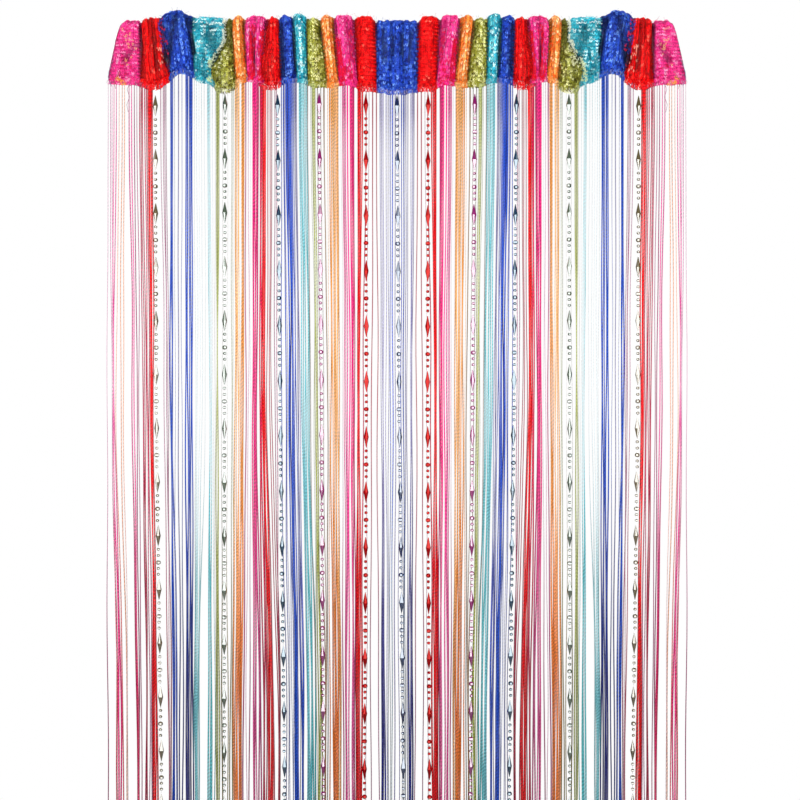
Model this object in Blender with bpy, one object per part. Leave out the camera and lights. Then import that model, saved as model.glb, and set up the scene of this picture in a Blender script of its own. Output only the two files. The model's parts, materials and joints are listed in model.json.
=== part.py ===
# Beaded string curtain hanging from a gathered, knitted rod-pocket heading.
# Metres, +Z up. The viewer looks along +Y, so the ridge of a fold stands towards -Y.
# The origin is the middle of the heading's top edge, where the rod carries it.
# Tables and named sizes are in millimetres and become metres in point().

import math
from collections import namedtuple

import bmesh
import bpy
import numpy as np

MM = 0.001

# Whole curtain
DROP = 2000.0
VALLEY_Y = 3.5

# Heading: one knitted tape, folded into a pocket and closed along its foot
WALL = 1.2
FOOT_HALF = 1.5
POCKET_HALF = 18.5
ROD_LEVEL = -27.0
SHOULDER_DROP = 6.0
SHOULDER_PART = 0.74
BACK_SHARE = 0.45
CREST_DIP = 3.6
HEM_RISE = 2.0
COLUMN_PITCH = 4.0
FEWEST_COLUMNS = 4
RIDGE_ROUNDNESS = 1.1
STEEPEST = 0.5

# Strings, and the lace border strip that carries each colour of them.
# SWAY_LEVELS gives heights and the share of a string's drift that it has there.
HEADING_GAP = 1.0
BORDER_HALF = 0.65
STRING_WIDTH = 1.3
STRING_PITCH = 4.0
END_MARGIN = 2.5
UNDER_SIDE = 2
SWAY_LEVELS = ((-960.0, 1.0), (-DROP, 0.6))

# Bead strings, which hang just in front of the yarn
BEAD_WIDTH = 3.0
BEAD_KNOT_WIDTH = 3.4
BEAD_KNOT_ABOVE = 3.0
BEAD_KNOT_BELOW = 4.0
BEAD_CLEARANCE = 2.0
BEAD_REACH = 3.4
BEAD_SAMPLES = 9

Fold = namedtuple("Fold", "colour foot top ridges foot_fold top_fold dip crest hem border drift")

# The left half of the heading, from its outer edge inwards, a row for each colour.
# foot, top: width of the colour along the foot and along the top edge
# ridges: how many ridges it stands in
# foot_fold, top_fold: how far they stand out there
# dip: depth of the valleys inside the colour, where 1 is as deep as those beside it
# crest, hem: height of its top edge and of its lower edge, from the origin
# border: height of the lace border that carries the strings
# drift: how far the strings lean towards +X half way down
LEFT_FOLDS = (
    Fold("pink", 37.8, 23.4, 2, 9.5, 6.4, 0.50, -4.8, -83.4, 8.0, 6.0),
    Fold("red", 35.4, 21.6, 3, 6.0, 3.8, 0.70, -1.2, -88.8, 11.0, 5.0),
    Fold("blue", 30.0, 39.6, 1, 15.0, 15.5, 1.00, 6.0, -71.0, 8.0, 4.0),
    Fold("teal", 24.0, 42.0, 2, 6.2, 9.0, 0.60, -0.6, -81.0, 8.0, 1.0),
    Fold("olive", 25.8, 4.8, 1, 13.0, 0.6, 1.00, -2.4, -94.8, 11.0, -0.5),
    Fold("orange", 13.2, 16.8, 1, 6.8, 8.0, 1.00, 0.0, -80.4, 8.0, 1.0),
    Fold("pink", 20.4, 25.2, 2, 5.4, 6.4, 0.80, 1.2, -79.2, 8.0, 3.0),
    Fold("red", 20.4, 14.4, 1, 10.6, 7.2, 1.00, -1.2, -90.0, 11.0, 6.0),
    Fold("blue", 18.6, 15.6, 1, 9.6, 7.6, 1.00, 1.2, -81.0, 8.0, 7.0),
    Fold("teal", 13.2, 18.0, 1, 6.8, 8.8, 1.00, 3.6, -80.4, 8.0, 6.0),
    Fold("olive", 22.8, 15.6, 1, 12.0, 7.6, 1.00, -2.4, -87.6, 9.0, 4.0),
    Fold("orange", 14.4, 16.8, 1, 7.4, 8.0, 1.00, 1.2, -86.4, 8.0, 3.0),
    Fold("pink", 22.8, 24.6, 1, 12.0, 12.4, 1.00, 1.2, -84.0, 8.0, 1.0),
    Fold("red", 22.8, 25.8, 1, 12.0, 12.8, 1.00, 0.0, -92.4, 11.0, 0.0),
)
CENTRE_FOLD = Fold("blue", 49.2, 50.4, 3, 8.2, 8.2, 0.80, -4.8, -94.8, 11.0, 0.0)

BeadString = namedtuple("BeadString", "colour x")

# The left bead strings and the middle one, by their distance from the middle of the curtain
LEFT_BEAD_STRINGS = (
    BeadString("smoke_brown", -289.2),
    BeadString("smoke_green", -205.2),
    BeadString("deep_teal", -142.8),
    BeadString("magenta", -93.0),
    BeadString("ruby", -37.2),
)
MIDDLE_BEAD_STRING = BeadString("navy", 0.0)

Finish = namedtuple("Finish", "colour roughness")

YARNS = {
    "pink": Finish((1.00, 0.05, 0.29), 0.70),
    "red": Finish((0.86, 0.02, 0.03), 0.70),
    "blue": Finish((0.05, 0.12, 0.60), 0.70),
    "teal": Finish((0.16, 0.64, 0.70), 0.70),
    "olive": Finish((0.40, 0.42, 0.09), 0.70),
    "orange": Finish((0.98, 0.33, 0.08), 0.70),
}
HEADING_FINISH = Finish((0.55, 0.12, 0.25), 0.80)
BEADS = {
    "smoke_brown": Finish((0.16, 0.13, 0.06), 0.10),
    "smoke_green": Finish((0.13, 0.17, 0.13), 0.10),
    "deep_teal": Finish((0.02, 0.14, 0.22), 0.10),
    "magenta": Finish((0.30, 0.02, 0.20), 0.10),
    "ruby": Finish((0.60, 0.01, 0.02), 0.10),
    "navy": Finish((0.02, 0.04, 0.14), 0.10),
}

Column = namedtuple("Column", "fold foot_x top_x foot_y top_y crest edge hem")


def clear_scene():
    for item in list(bpy.data.objects):
        bpy.data.objects.remove(item, do_unlink=True)


def point(x, y, z):
    """A place in metres from millimetres."""
    return (x * MM, y * MM, z * MM)


def make_material(name, finish):
    material = bpy.data.materials.new(name)
    material.use_nodes = True
    shader = material.node_tree.nodes["Principled BSDF"]
    shader.inputs["Base Color"].default_value = (*finish.colour, 1.0)
    shader.inputs["Roughness"].default_value = finish.roughness
    shader.inputs["Metallic"].default_value = 0.0
    return material


def make_object(name, bm, finish, parts):
    bmesh.ops.recalc_face_normals(bm, faces=bm.faces)
    mesh = bpy.data.meshes.new(name)
    bm.to_mesh(mesh)
    bm.free()
    item = bpy.data.objects.new(name, mesh)
    mesh.materials.append(make_material(name, finish))
    parts.objects.link(item)
    return item


def all_folds():
    right = [fold._replace(drift=-fold.drift) for fold in reversed(LEFT_FOLDS)]
    return [*LEFT_FOLDS, CENTRE_FOLD, *right]


def all_bead_strings():
    right = [string._replace(x=-string.x) for string in reversed(LEFT_BEAD_STRINGS)]
    return [*LEFT_BEAD_STRINGS, MIDDLE_BEAD_STRING, *right]


def ridge_shape(u, ridges, dip):
    """How far out the cloth stands at u, from 0 in a valley to 1 on a ridge."""
    wave = abs(math.sin(math.pi * ridges * u)) ** RIDGE_ROUNDNESS
    inside = 0.5 / ridges < u < 1.0 - 0.5 / ridges
    return 1.0 - dip * (1.0 - wave) if inside else wave


def blend(a, b, t):
    return a + (b - a) * t


def along_fold(before, own, after, u, valley_shift):
    """A size that is the fold's own at its middle and shared with its neighbour at each side."""
    side = blend(before + own, own + after, u) / 2 + valley_shift
    return blend(side, own, math.sin(math.pi * u))


def make_columns(folds):
    """Stations along the gathered heading, from its left end to its right end."""
    columns = []
    foot_x = -0.5 * sum(fold.foot for fold in folds)
    top_x = -0.5 * sum(fold.top for fold in folds)
    last = len(folds) - 1
    for i, fold in enumerate(folds):
        before = folds[max(i - 1, 0)]
        after = folds[min(i + 1, last)]
        width = max(fold.foot, fold.top) / fold.ridges
        steps = fold.ridges * max(FEWEST_COLUMNS, round(width / COLUMN_PITCH))
        for k in range(steps + (i == last)):
            u = k / steps
            out = ridge_shape(u, fold.ridges, fold.dip)
            crest = along_fold(before.crest, fold.crest, after.crest, u, -CREST_DIP)
            hem = along_fold(before.hem, fold.hem, after.hem, u, HEM_RISE)
            border = along_fold(before.border, fold.border, after.border, u, 0.0)
            columns.append(Column(
                fold=i,
                foot_x=foot_x + fold.foot * u,
                top_x=top_x + fold.top * u,
                foot_y=VALLEY_Y - fold.foot_fold * out,
                top_y=VALLEY_Y - fold.top_fold * out,
                crest=crest,
                edge=hem + border,
                hem=hem,
            ))
        foot_x += fold.foot
        top_x += fold.top
    return columns


def path_normals(x, y):
    """Unit normals of a path in plan, on its front side."""
    along_x = np.gradient(x)
    along_y = np.gradient(y)
    length = np.hypot(along_x, along_y)
    return along_y / length, -along_x / length


def heading_ring(column, normal, inset):
    """Outline of the pocket at one station, from front foot to back foot, inset into the cloth.

    The front layer has the full folds, the back layer only a share of them, and they meet
    in the same line along the foot.
    """
    foot = column.edge + inset
    shoulder = column.crest - SHOULDER_DROP - inset / 2
    foot_half = FOOT_HALF - inset
    belly_half = POCKET_HALF - inset / max(abs(normal[1]), STEEPEST)
    shoulder_half = POCKET_HALF * SHOULDER_PART - inset

    def beside(half):
        return point(column.foot_x + normal[0] * half, column.foot_y + normal[1] * half, foot)

    def around(z, half, share):
        part = (z - column.edge) / (column.crest - column.edge)
        x = blend(column.foot_x, column.top_x, part)
        y = blend(column.foot_y, column.top_y, part)
        return point(x, blend(VALLEY_Y, y, share) - half, z)

    return [
        beside(foot_half),
        around(ROD_LEVEL, belly_half, 1.0),
        around(shoulder, shoulder_half, 1.0),
        around(column.crest - inset, 0.0, (1.0 + BACK_SHARE) / 2),
        around(shoulder, -shoulder_half, BACK_SHARE),
        around(ROD_LEVEL, -belly_half, BACK_SHARE),
        beside(-foot_half),
    ]


def loft(bm, rings):
    """Quads between each two neighbouring rings."""
    for left, right in zip(rings, rings[1:]):
        for k in range(len(left)):
            after = (k + 1) % len(left)
            bm.faces.new((left[k], right[k], right[after], left[after]))


def make_heading(columns, parts):
    """A loft through unlike sections, outside and inside, joined around both open ends."""
    normals = list(zip(*path_normals(
        np.array([column.foot_x for column in columns]),
        np.array([column.foot_y for column in columns]),
    )))
    bm = bmesh.new()
    walls = []
    for inset in (0.0, WALL):
        outlines = [heading_ring(column, normal, inset) for column, normal in zip(columns, normals)]
        walls.append([[bm.verts.new(place) for place in outline] for outline in outlines])
        loft(bm, walls[-1])
    outer, inner = walls
    for end in (0, -1):
        loft(bm, [outer[end], inner[end]])
    return make_object("heading", bm, HEADING_FINISH, parts)


class FootPath:
    """The line along the heading's foot from which the strings hang."""

    def __init__(self, columns, folds):
        self.x = np.array([column.foot_x for column in columns])
        self.y = np.array([column.foot_y for column in columns])
        self.edge = np.array([column.edge for column in columns])
        self.hem = np.array([column.hem for column in columns])
        steps = np.hypot(np.diff(self.x), np.diff(self.y))
        self.run = np.concatenate(([0.0], np.cumsum(steps)))
        self.normal_x, self.normal_y = path_normals(self.x, self.y)
        first = [next(k for k, column in enumerate(columns) if column.fold == i)
                 for i in range(len(folds))]
        self.starts = [*self.run[first], self.run[-1]]
        middles = [(a + b) / 2 for a, b in zip(self.starts, self.starts[1:])]
        self.drift = np.interp(self.run, middles, [fold.drift for fold in folds])

    def at(self, run, values):
        return float(np.interp(run, self.run, values))

    def across(self, run, half):
        """A point beside the path, half a thickness to its front or, if negative, its back."""
        x = self.at(run, self.x) + self.at(run, self.normal_x) * half
        y = self.at(run, self.y) + self.at(run, self.normal_y) * half
        return x, y


def string_runs(start, end):
    """Places along the path of one colour's strings, evenly apart."""
    length = end - start - 2 * END_MARGIN
    count = max(2, round(length / STRING_PITCH) + 1)
    return [start + END_MARGIN + length * k / (count - 1) for k in range(count)]


def draw_down(bm, tips, drifts):
    """Draw each tip face down to the cut end, leaning sideways by its own drift."""
    sway_before = 0.0
    for level, sway in SWAY_LEVELS:
        tips = bmesh.ops.extrude_discrete_faces(bm, faces=tips)["faces"]
        for tip, drift in zip(tips, drifts):
            for vert in tip.verts:
                vert.co.x += drift * (sway - sway_before) * MM
                vert.co.z = level * MM
        sway_before = sway


def make_strings(name, colour, runs, path, parts):
    """The border strip of one colour, with its strings drawn down out of its lower edge."""
    bm = bmesh.new()
    stations = []
    for run in runs:
        stations += [run - STRING_WIDTH / 2, run + STRING_WIDTH / 2]
    rings = []
    for run in stations:
        front = path.across(run, BORDER_HALF)
        back = path.across(run, -BORDER_HALF)
        top = path.at(run, path.edge) - HEADING_GAP
        foot = path.at(run, path.hem)
        ring = [(front, top), (back, top), (back, foot), (front, foot)]
        rings.append([bm.verts.new(point(*plan, z)) for plan, z in ring])
    tips = []
    for k, (left, right) in enumerate(zip(rings, rings[1:])):
        for side in range(4):
            after = (side + 1) % 4
            face = bm.faces.new((left[side], right[side], right[after], left[after]))
            if side == UNDER_SIDE and k % 2 == 0:
                tips.append(face)
    bm.faces.new(rings[0])
    bm.faces.new(reversed(rings[-1]))
    bmesh.ops.recalc_face_normals(bm, faces=bm.faces)
    draw_down(bm, tips, [path.at(run, path.drift) for run in runs])
    return make_object(name, bm, YARNS[colour], parts)


def bead_place(x, path):
    """Where a bead string hangs: in front of every string that its beads could touch."""
    places = np.linspace(x - BEAD_REACH, x + BEAD_REACH, BEAD_SAMPLES)
    front = np.interp(places, path.x, path.y).min()
    run = float(np.interp(x, path.x, path.run))
    return run, float(front) - BEAD_CLEARANCE - BEAD_KNOT_WIDTH / 2


def make_bead_string(name, string, path, parts):
    """The knot at the border's edge, with the closed outer form of the threaded line."""
    run, y = bead_place(string.x, path)
    hem = path.at(run, path.hem)
    bm = bmesh.new()
    bmesh.ops.create_cube(bm, size=1.0)
    knot_height = BEAD_KNOT_ABOVE + BEAD_KNOT_BELOW
    middle = hem + (BEAD_KNOT_ABOVE - BEAD_KNOT_BELOW) / 2
    bmesh.ops.scale(bm, vec=point(BEAD_KNOT_WIDTH, BEAD_KNOT_WIDTH, knot_height), verts=bm.verts)
    bmesh.ops.translate(bm, vec=point(string.x, y, middle), verts=bm.verts)
    tip = min(bm.faces, key=lambda face: face.calc_center_median().z)
    rim = (BEAD_KNOT_WIDTH - BEAD_WIDTH) / 2
    bmesh.ops.inset_region(bm, faces=[tip], thickness=rim * MM)
    draw_down(bm, [tip], [path.at(run, path.drift)])
    return make_object(name, bm, BEADS[string.colour], parts)


def main():
    clear_scene()
    parts = bpy.data.collections.new("beaded_string_curtain")
    bpy.context.scene.collection.children.link(parts)
    folds = all_folds()
    columns = make_columns(folds)
    path = FootPath(columns, folds)
    make_heading(columns, parts)
    for i, fold in enumerate(folds):
        runs = string_runs(path.starts[i], path.starts[i + 1])
        make_strings(f"strings_{i + 1:02d}_{fold.colour}", fold.colour, runs, path, parts)
    for i, string in enumerate(all_bead_strings()):
        make_bead_string(f"beads_{i + 1:02d}_{string.colour}", string, path, parts)


main()
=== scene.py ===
import json
import math

import bmesh
import bpy
import numpy as np
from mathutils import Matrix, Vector

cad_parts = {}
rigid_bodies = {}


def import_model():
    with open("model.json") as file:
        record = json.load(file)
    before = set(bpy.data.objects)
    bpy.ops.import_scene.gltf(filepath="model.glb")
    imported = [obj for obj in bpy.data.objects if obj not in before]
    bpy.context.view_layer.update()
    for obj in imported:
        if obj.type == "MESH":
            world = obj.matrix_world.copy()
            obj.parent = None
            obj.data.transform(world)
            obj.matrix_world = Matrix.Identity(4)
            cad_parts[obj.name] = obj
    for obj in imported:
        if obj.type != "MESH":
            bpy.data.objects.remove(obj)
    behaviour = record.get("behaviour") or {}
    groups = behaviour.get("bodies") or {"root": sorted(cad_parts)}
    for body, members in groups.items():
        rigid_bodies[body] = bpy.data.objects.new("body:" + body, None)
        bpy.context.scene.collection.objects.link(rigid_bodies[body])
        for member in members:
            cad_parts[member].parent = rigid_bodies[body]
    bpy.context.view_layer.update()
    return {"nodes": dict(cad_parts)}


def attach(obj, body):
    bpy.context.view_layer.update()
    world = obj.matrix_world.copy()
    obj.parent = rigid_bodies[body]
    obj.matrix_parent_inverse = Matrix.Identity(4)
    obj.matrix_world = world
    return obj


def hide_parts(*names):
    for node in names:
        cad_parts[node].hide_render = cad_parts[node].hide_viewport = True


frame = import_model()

mm = 0.001
for item in list(bpy.data.objects):
    if item.type in ("CAMERA", "LIGHT") or item.name == "Cube":
        bpy.data.objects.remove(item)
print("frame loaded:", len(frame["nodes"]), "nodes")


def linear(red, green, blue):
    # display colour from 0 to 255, as the linear value that shaders use
    parts = [channel / 255 for channel in (red, green, blue)]
    return np.array([p / 12.92 if p <= 0.04045 else ((p + 0.055) / 1.055) ** 2.4 for p in parts])


# knit: the heading's own dye, its darker and lighter yarn, and the pale dye of the stitches painted as
# highlights on the ridges
# the other names are the tones that single strings hang in
dyes = {
    "pink": {
        "knit": [(250, 56, 146), (208, 16, 98), (255, 122, 186), (255, 170, 208)],
        "full": (244, 44, 136), "mid": (224, 92, 156), "pale": (226, 148, 190), "dusk": (174, 74, 122),
        "peach": (240, 176, 142), "crimson": (206, 34, 92), "coral": (230, 96, 112),
        "trace": (226, 190, 206),
    },
    "red": {
        "knit": [(236, 14, 18), (168, 0, 8), (250, 44, 38), (255, 110, 92)],
        "full": (238, 20, 28), "crimson": (246, 38, 90), "mid": (196, 70, 96), "pale": (212, 146, 166),
        "dusk": (172, 44, 70), "mauve": (186, 126, 156), "trace": (220, 190, 200),
    },
    "blue": {
        "knit": [(38, 74, 190), (12, 28, 112), (82, 128, 228), (120, 164, 240)],
        "full": (38, 84, 204), "mid": (100, 116, 204), "pale": (160, 168, 212), "mauve": (140, 136, 182),
        "dusk": (66, 72, 132), "navy": (36, 40, 120), "grey": (122, 146, 160),
    },
    "teal": {
        "knit": [(44, 172, 192), (4, 112, 142), (128, 218, 224), (206, 240, 240)],
        "full": (104, 210, 220), "mid": (134, 216, 226), "pale": (176, 212, 218), "faint": (112, 206, 218),
        "trace": (200, 228, 232),
    },
    "olive": {
        "knit": [(148, 148, 50), (82, 76, 14), (200, 202, 104), (228, 228, 160)],
        "full": (176, 186, 88), "mid": (184, 192, 116), "pale": (192, 200, 166), "dusk": (166, 128, 84),
        "mauve": (176, 168, 162), "brown": (152, 138, 78), "grey": (100, 108, 96), "trace": (206, 206, 196),
    },
    "orange": {
        "knit": [(248, 138, 56), (232, 88, 26), (255, 184, 108), (255, 222, 170)],
        "full": (250, 166, 78), "mid": (252, 186, 112), "pale": (246, 200, 156), "salmon": (255, 160, 106),
        "deep": (255, 132, 46),
    },
}
# radius of a string in each tone
toneThickness = {
    "full": 0.78, "crimson": 0.74, "navy": 0.78, "deep": 0.78, "salmon": 0.72, "coral": 0.68, "mid": 0.64,
    "dusk": 0.56, "brown": 0.54, "peach": 0.50, "mauve": 0.48, "pale": 0.38, "grey": 0.36, "faint": 0.31,
    "trace": 0.17,
}


# The left half of the heading, from its outer edge inwards, a row for each run of colour.
# foot, top: width along the foot and along the top edge
# ridges: how many ridges it stands in; footFold, topFold: how far they stand out
# dip: depth of the valleys inside the colour; crest, hem: height of its top and lower edge
# border: height of the lace
foldColumns = "colour foot top ridges footFold topFold dip crest hem border".split()
leftFolds = [
    ("pink", 37.8, 23.4, 2, 9.5, 6.4, 0.50, -4.8, -83.4, 8.0),
    ("red", 35.4, 21.6, 3, 6.0, 3.8, 0.70, -1.2, -88.8, 11.0),
    ("blue", 30.0, 39.6, 1, 15.0, 15.5, 1.00, 6.0, -71.0, 8.0),
    ("teal", 24.0, 42.0, 2, 6.2, 9.0, 0.60, -0.6, -81.0, 8.0),
    ("olive", 25.8, 4.8, 1, 13.0, 0.6, 1.00, -2.4, -94.8, 11.0),
    ("orange", 13.2, 16.8, 1, 6.8, 8.0, 1.00, 0.0, -80.4, 8.0),
    ("pink", 20.4, 25.2, 2, 5.4, 6.4, 0.80, 1.2, -79.2, 8.0),
    ("red", 20.4, 14.4, 1, 10.6, 7.2, 1.00, -1.2, -90.0, 11.0),
    ("blue", 18.6, 15.6, 1, 9.6, 7.6, 1.00, 1.2, -81.0, 8.0),
    ("teal", 13.2, 18.0, 1, 6.8, 8.8, 1.00, 3.6, -80.4, 8.0),
    ("olive", 22.8, 15.6, 1, 12.0, 7.6, 1.00, -2.4, -87.6, 9.0),
    ("orange", 14.4, 16.8, 1, 7.4, 8.0, 1.00, 1.2, -86.4, 8.0),
    ("pink", 22.8, 24.6, 1, 12.0, 12.4, 1.00, 1.2, -84.0, 8.0),
    ("red", 22.8, 25.8, 1, 12.0, 12.8, 1.00, 0.0, -92.4, 11.0),
]
centreFold = ("blue", 49.2, 50.4, 3, 8.2, 8.2, 0.80, -4.8, -94.8, 11.0)
allFolds = [*leftFolds, centreFold, *reversed(leftFolds)]
foldCount = len(allFolds)
fold = {name: np.array([row[k] for row in allFolds]) for k, name in enumerate(foldColumns)}
fold["footStart"] = np.concatenate(([0.0], np.cumsum(fold["foot"])))[:-1] - fold["foot"].sum() / 2
fold["topStart"] = np.concatenate(([0.0], np.cumsum(fold["top"])))[:-1] - fold["top"].sum() / 2

heading = {
    "valleyY": 3.5,
    "footHalf": 1.5,
    "pocketHalf": 18.5,
    "rodLevel": -27.0,
    "shoulderDrop": 6.0,
    "shoulderPart": 0.74,
    "backShare": 0.45,
    "crestDip": 3.6,
    "hemRise": 2.0,
    "ridgeRoundness": 1.1,
    "coarsePitch": 4.0,
    "fewestColumns": 4,
    "wall": 1.0,
    "columns": 480,
    "densePoints": 6000,
    "fadeRows": 4,
    "bowReach": 0.6,
    "ringSteps": (18, 6, 5, 5, 6, 18),
    "ringSmoothing": 5,
    "normalSmoothing": 4,
}


def stationsAt(s):
    # sizes of the heading at places s, which count the runs of colour from the left end
    i = np.minimum(s.astype(int), foldCount - 1)
    u = s - i
    wave = np.abs(np.sin(np.pi * fold["ridges"][i] * u)) ** heading["ridgeRoundness"]
    halfRidge = 0.5 / fold["ridges"][i]
    inside = (u > halfRidge) & (u < 1 - halfRidge)
    out = np.where(inside, 1 - fold["dip"][i] * (1 - wave), wave)
    before = np.maximum(i - 1, 0)
    after = np.minimum(i + 1, foldCount - 1)

    def shared(name, valleyShift):
        own = fold[name]
        side = ((own[before] + own[i]) * (1 - u) + (own[i] + own[after]) * u) / 2 + valleyShift
        return side + (own[i] - side) * np.sin(np.pi * u)

    hem = shared("hem", heading["hemRise"])
    return {
        "run": i,
        "out": out,
        "footX": fold["footStart"][i] + fold["foot"][i] * u,
        "topX": fold["topStart"][i] + fold["top"][i] * u,
        "footY": heading["valleyY"] - fold["footFold"][i] * out,
        "topY": heading["valleyY"] - fold["topFold"][i] * out,
        "crest": shared("crest", -heading["crestDip"]),
        "hem": hem,
        "edge": hem + shared("border", 0.0),
    }


def pathLength(*coordinates):
    # length along a line from its first point to each point
    steps = np.sqrt(sum(np.diff(values) ** 2 for values in coordinates))
    return np.concatenate(([0.0], np.cumsum(steps)))


def pathNormals(x, y):
    alongX, alongY = np.gradient(x), np.gradient(y)
    length = np.hypot(alongX, alongY)
    return alongY / length, -alongX / length


def smooth(values, passes):
    # soften along the first axis, with both ends kept
    values = values.copy()
    for _ in range(passes):
        values[1:-1] = (values[:-2] + 2 * values[1:-1] + values[2:]) / 4
    return values


# the line along the foot from which the strings hang, at the solids' own stations
coarseParts = []
for i in range(foldCount):
    perRidge = max(fold["foot"][i], fold["top"][i]) / fold["ridges"][i]
    steps = int(fold["ridges"][i]) * max(heading["fewestColumns"], round(perRidge / heading["coarsePitch"]))
    coarseParts.append(i + np.arange(steps) / steps)
coarse = np.concatenate([*coarseParts, [float(foldCount)]])
foot = stationsAt(coarse)
foot["length"] = pathLength(foot["footX"], foot["footY"])
foot["normalX"], foot["normalY"] = pathNormals(foot["footX"], foot["footY"])
foot["starts"] = np.interp(np.arange(foldCount + 1), coarse, foot["length"])


def atFoot(length, name):
    return np.interp(length, foot["length"], foot[name])


def linkObject(name, mesh):
    piece = bpy.data.objects.new(name, mesh)
    bpy.context.scene.collection.objects.link(piece)
    return piece


def addValues(mesh, name, kind, values):
    # a named value on each point of a mesh
    attribute = mesh.attributes.new(name, kind, "POINT")
    field = {"FLOAT": "value", "FLOAT_VECTOR": "vector", "FLOAT_COLOR": "color"}[kind]
    attribute.data.foreach_set(field, np.asarray(values, np.float32).ravel())


def makeMesh(name, points, edges=(), faces=(), values=()):
    # points in millimetres; values are (name, kind, array) rows
    mesh = bpy.data.meshes.new(name)
    edges, faces = [tuple(edge) for edge in edges], [tuple(face) for face in faces]
    mesh.from_pydata((np.asarray(points) * mm).tolist(), edges, faces)
    for label, kind, numbers in values:
        addValues(mesh, label, kind, numbers)
    mesh.update()
    return mesh


def withAlpha(colours):
    colours = np.asarray(colours)
    return np.concatenate([colours, np.ones((len(colours), 1))], axis=1)


def addNode(tree, kind, inputs=(), **settings):
    # a node with its settings, and its inputs as values or as the sockets to link
    node = tree.nodes.new(kind)
    for name, value in settings.items():
        setattr(node, name, value)
    for name, value in dict(inputs).items():
        socket = node.inputs[name]
        if isinstance(value, bpy.types.NodeSocket):
            tree.links.new(value, socket)
        else:
            socket.default_value = value
    return node


def mathNode(tree, operation, *values):
    return addNode(tree, "ShaderNodeMath", dict(enumerate(values)), operation=operation).outputs[0]


def rangeNode(tree, value, low, high, first, last):
    # the value, with the span from low to high stretched to the span from first to last
    return addNode(tree, "ShaderNodeMapRange", {0: value, 1: low, 2: high, 3: first, 4: last}).outputs[0]


def mixNode(tree, share, first, second):
    tones = {"Factor": share, 6: first, 7: second}
    return addNode(tree, "ShaderNodeMix", tones, data_type="RGBA").outputs[2]


def noiseNode(tree, place, scale, detail):
    inputs = {"Vector": place, "Scale": scale, "Detail": detail}
    return addNode(tree, "ShaderNodeTexNoise", inputs).outputs["Fac"]


def scaleNode(tree, colour, factor):
    return addNode(tree, "ShaderNodeVectorMath", {0: colour, "Scale": factor}, operation="SCALE").outputs[0]


def storeValue(tree, geometry, name, value, **settings):
    stored = {"Geometry": geometry, "Name": name, "Value": value}
    return addNode(tree, "GeometryNodeStoreNamedAttribute", stored, **settings).outputs[0]


def roundProfile(tree, sides, radius):
    inputs = {"Resolution": sides, "Radius": radius}
    return addNode(tree, "GeometryNodeCurvePrimitiveCircle", inputs, mode="RADIUS").outputs["Curve"]


def newTree(name, sockets):
    tree = bpy.data.node_groups.new(name, "GeometryNodeTree")
    tree.interface.new_socket("Geometry", in_out="INPUT", socket_type="NodeSocketGeometry")
    for label, kind in sockets:
        tree.interface.new_socket(label, in_out="INPUT", socket_type=f"NodeSocket{kind}")
    tree.interface.new_socket("Geometry", in_out="OUTPUT", socket_type="NodeSocketGeometry")
    return tree, tree.nodes.new("NodeGroupInput")


def named(tree, name, kind):
    # a node that reads a named value of the guide
    node = addNode(tree, "GeometryNodeInputNamedAttribute", {"Name": name}, data_type=kind)
    return node.outputs["Attribute"]


def closeTree(tree, geometry, material):
    # the end that both yarn trees share: real geometry, its shading and its material
    real = addNode(tree, "GeometryNodeRealizeInstances", {"Geometry": geometry}).outputs["Geometry"]
    shaded = addNode(tree, "GeometryNodeSetShadeSmooth", {"Geometry": real, "Shade Smooth": True}).outputs[0]
    painted = addNode(tree, "GeometryNodeSetMaterial", {"Geometry": shaded, "Material": material})
    tree.links.new(painted.outputs["Geometry"], tree.nodes.new("NodeGroupOutput").inputs["Geometry"])


def runTree(name, guideMesh, tree, values):
    # grow a piece from its guide, then keep the result as a plain mesh
    guide = linkObject(name + "_guide", guideMesh)
    modifier = guide.modifiers.new(tree.name, "NODES")
    modifier.node_group = tree
    for socket in tree.interface.items_tree:
        if socket.item_type == "SOCKET" and socket.in_out == "INPUT" and socket.name in values:
            modifier[socket.identifier] = values[socket.name]
    depsgraph = bpy.context.evaluated_depsgraph_get()
    grown = guide.evaluated_get(depsgraph)
    mesh = bpy.data.meshes.new_from_object(grown, preserve_all_data_layers=True, depsgraph=depsgraph)
    bpy.data.objects.remove(guide)
    mesh.name = name
    return linkObject(name, mesh)


def newMaterial(name):
    material = bpy.data.materials.new(name)
    material.use_nodes = True
    return material, material.node_tree, material.node_tree.nodes["Principled BSDF"]


yarnLook = {
    "plyGrooveShade": 0.38,
    "roughness": 0.6,
    "sheen": 0.12,
    "sheenRoughness": 0.4,
    "specular": 0.05,
    "fade": 0.14,
    "fadeSpan": (0.48, 0.75),
    "fadeScale": (500.0, 500.0, 14.0),
    "faded": (0.86, 0.84, 0.86, 1),
}


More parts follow.
